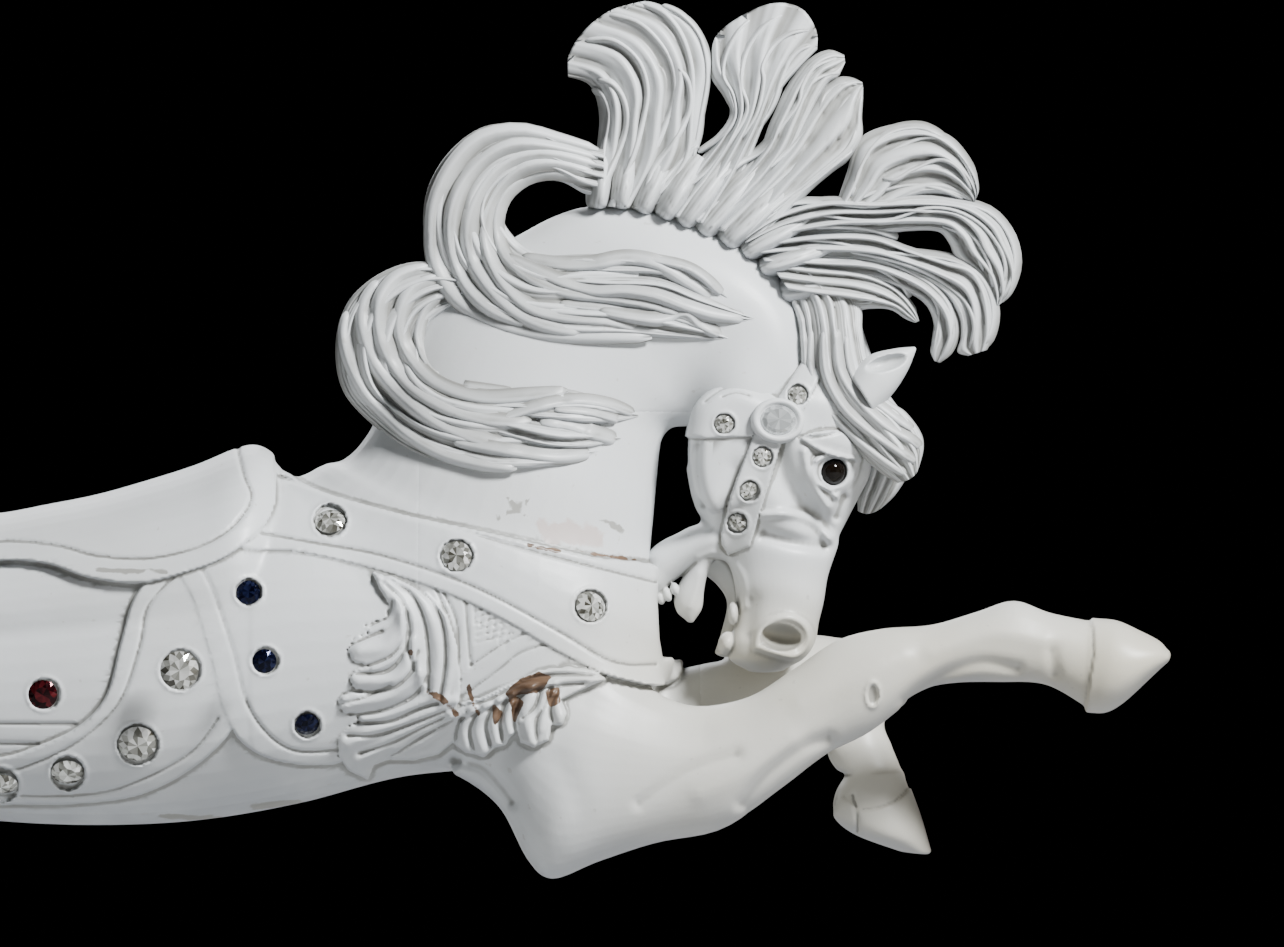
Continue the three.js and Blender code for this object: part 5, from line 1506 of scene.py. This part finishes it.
def cut_stone(name, radius, seed, sides=12, table=0.54, flatness=1.0):
    """A brilliant about +Z, each facet given a random tone of painted reflection."""
    made = bmesh.new()

    def point(share, angle, height):
        """A corner at a share of the radius, so many sides round, and a share of the radius high."""
        turn = 2 * math.pi * angle / sides
        return made.verts.new((share * radius * math.cos(turn), share * radius * math.sin(turn) * flatness,
                               height * radius))

    girdle = [point(1, i / 2, 0) for i in range(2 * sides)]
    crown = [point((1 + table) / 2, i + 0.5, 0.17) for i in range(sides)]
    top = [point(table, i, 0.28) for i in range(sides)]
    peak = point(0, 0, 0.30)
    tail = point(0, 0, -0.35)
    for i in range(sides):
        j = (i + 1) % sides
        made.faces.new((peak, top[i], top[j]))
        made.faces.new((top[i], crown[i], top[j]))
        made.faces.new((top[j], crown[i], girdle[2 * j], crown[j]))
        made.faces.new((crown[i], girdle[2 * i], girdle[2 * i + 1]))
        made.faces.new((crown[i], girdle[2 * i + 1], girdle[(2 * i + 2) % (2 * sides)]))
    for i in range(2 * sides):
        made.faces.new((girdle[(i + 1) % (2 * sides)], girdle[i], tail))
    bmesh.ops.recalc_face_normals(made, faces=made.faces)
    piece = piece_from(made, name, smooth=False)
    glint_tones = np.random.default_rng(seed).beta(0.9, 0.9, len(piece.data.polygons))
    facet = piece.data.attributes.new("facet", "FLOAT", "FACE")
    facet.data.foreach_set("value", glint_tones.astype(np.float32))
    return piece


GLINT_TONES = {
    "clear": ((0.07, 0.065, 0.05), (0.42, 0.42, 0.38), (0.95, 0.95, 0.92), 0.45),
    "frosted": ((0.40, 0.41, 0.41), (0.52, 0.54, 0.54), (0.68, 0.70, 0.70), 0.4),
    "navy": ((0.001, 0.0015, 0.006), (0.004, 0.005, 0.018), (0.012, 0.016, 0.05), 0.12),
    "red": ((0.006, 0.001, 0.0015), (0.025, 0.003, 0.005), (0.10, 0.010, 0.014), 0.15)}
GLASSES = {tint: silvered_glass(tint + "_glass", *glint_tones) for tint, glint_tones in GLINT_TONES.items()}
TINTS = {"flap_jewel": "navy", "cloth_jewel": "red", "boss_jewel": "frosted"}
BOSS_CUT = dict(sides=16, table=0.7, flatness=ROSETTE_FLATNESS)
STONE_SUNK = 1.5
BOSS_RISE = 2.0
stone_seats["boss_jewel"] = (rosette_place + rosette_out * BOSS_RISE, rosette_out, STONES["boss_jewel"])
for number, (node, (place, out, radius)) in enumerate(sorted(stone_seats.items())):
    boss = node == "boss_jewel"
    tint = TINTS.get(kind_of(node), "clear")
    stone = cut_stone(node + "_stone", radius, number, **(BOSS_CUT if boss else {}))
    turned(stone.data, place - out * (0 if boss else STONE_SUNK), out)
    stone.data.materials.append(GLASSES[tint])
    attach(stone, "root")
    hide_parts(node)


# The base: one low board of glued-up wood, sawn with round corners, its edges eased, and painted like the
# horse. The hind hooves stand on it, and it carries the whole weight.

BOARD_SIZE = (1000, 420, 49.4)
BOARD_CORNER = 60
BOARD_EASE = 8
made = bmesh.new()
bmesh.ops.create_cube(made, size=1.0)
bmesh.ops.scale(made, verts=made.verts, vec=[size * MM for size in BOARD_SIZE])
bmesh.ops.translate(made, verts=made.verts, vec=(0, 0, BOARD_SIZE[2] * MM / 2))


def rise(edge):
    """How much higher one end of an edge lies than the other."""
    return abs(edge.verts[0].co.z - edge.verts[1].co.z)


upright = [edge for edge in made.edges if rise(edge) > 0.01]
bmesh.ops.bevel(made, geom=upright, offset=BOARD_CORNER * MM, segments=10, profile=0.5, affect="EDGES")
level = [edge for edge in made.edges if rise(edge) < 0.001]
bmesh.ops.bevel(made, geom=level, offset=BOARD_EASE * MM, segments=4, profile=0.5, affect="EDGES")
board = piece_from(made, "base_board", smooth=False)
board.data.materials.append(white_paint)
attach(board, "root")
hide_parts("base")


# Camera, floor and light: the horse is seen level from its right side, against black, with one cool light
# high up in front of its nose, weak fills from low on both sides, and a broad light behind.

PHOTO_WIDTH = 1.284
PHOTO_MIDDLE = 0.7665
CAMERA_AWAY = 16.0
camera_data = bpy.data.cameras.new("camera")
camera_data.sensor_width = 36
camera_data.lens = camera_data.sensor_width * CAMERA_AWAY / PHOTO_WIDTH
camera_data.clip_end = 100
camera = bpy.data.objects.new("camera", camera_data)
camera.location = (PHOTO_WIDTH / 2, -CAMERA_AWAY, PHOTO_MIDDLE)
camera.rotation_euler = (math.pi / 2, 0, 0)
bpy.context.scene.collection.objects.link(camera)
bpy.context.scene.camera = camera

bpy.ops.mesh.primitive_circle_add(vertices=96, radius=8.5, fill_type="NGON", location=(0, 0, 0))
floor = bpy.context.object
floor.name = "floor"
floor_paint = bpy.data.materials.new("grey_floor")
floor_paint.use_nodes = True
floor_shader = floor_paint.node_tree.nodes["Principled BSDF"]
floor_shader.inputs["Base Color"].default_value = (0.42, 0.42, 0.42, 1)
floor_shader.inputs["Roughness"].default_value = 0.7
floor.data.materials.append(floor_paint)
floor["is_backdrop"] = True


def soft_light(name, place, aim, size, power, colour):
    """A square lamp at a place in metres, turned towards another."""
    data = bpy.data.lights.new(name, "AREA")
    data.size = size
    data.energy = power
    data.color = colour
    light = bpy.data.objects.new(name, data)
    light.location = place
    light.rotation_euler = (Vector(aim) - Vector(place)).to_track_quat("-Z", "Y").to_euler()
    bpy.context.scene.collection.objects.link(light)


soft_light("key_light", (3.0, -2.6, 3.5), (0.4, 0, 0.75), 0.9, 500, (0.97, 0.99, 1.0))
soft_light("low_fill", (-1.6, -5.0, 1.0), (0.5, 0, 0.7), 3.0, 10, (0.93, 0.97, 1.0))
soft_light("warm_fill", (3.2, -2.0, 0.5), (0.8, 0, 0.6), 1.6, 4, (1.0, 0.86, 0.68))
soft_light("rear_light", (-0.6, 3.6, 2.8), (0.2, 0, 0.7), 2.5, 75, (0.95, 0.97, 1.0))

world = bpy.data.worlds.new("dark_room")
world.use_nodes = True
world.node_tree.nodes["Background"].inputs["Color"].default_value = (0, 0, 0, 1)
bpy.context.scene.world = world

low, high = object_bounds()
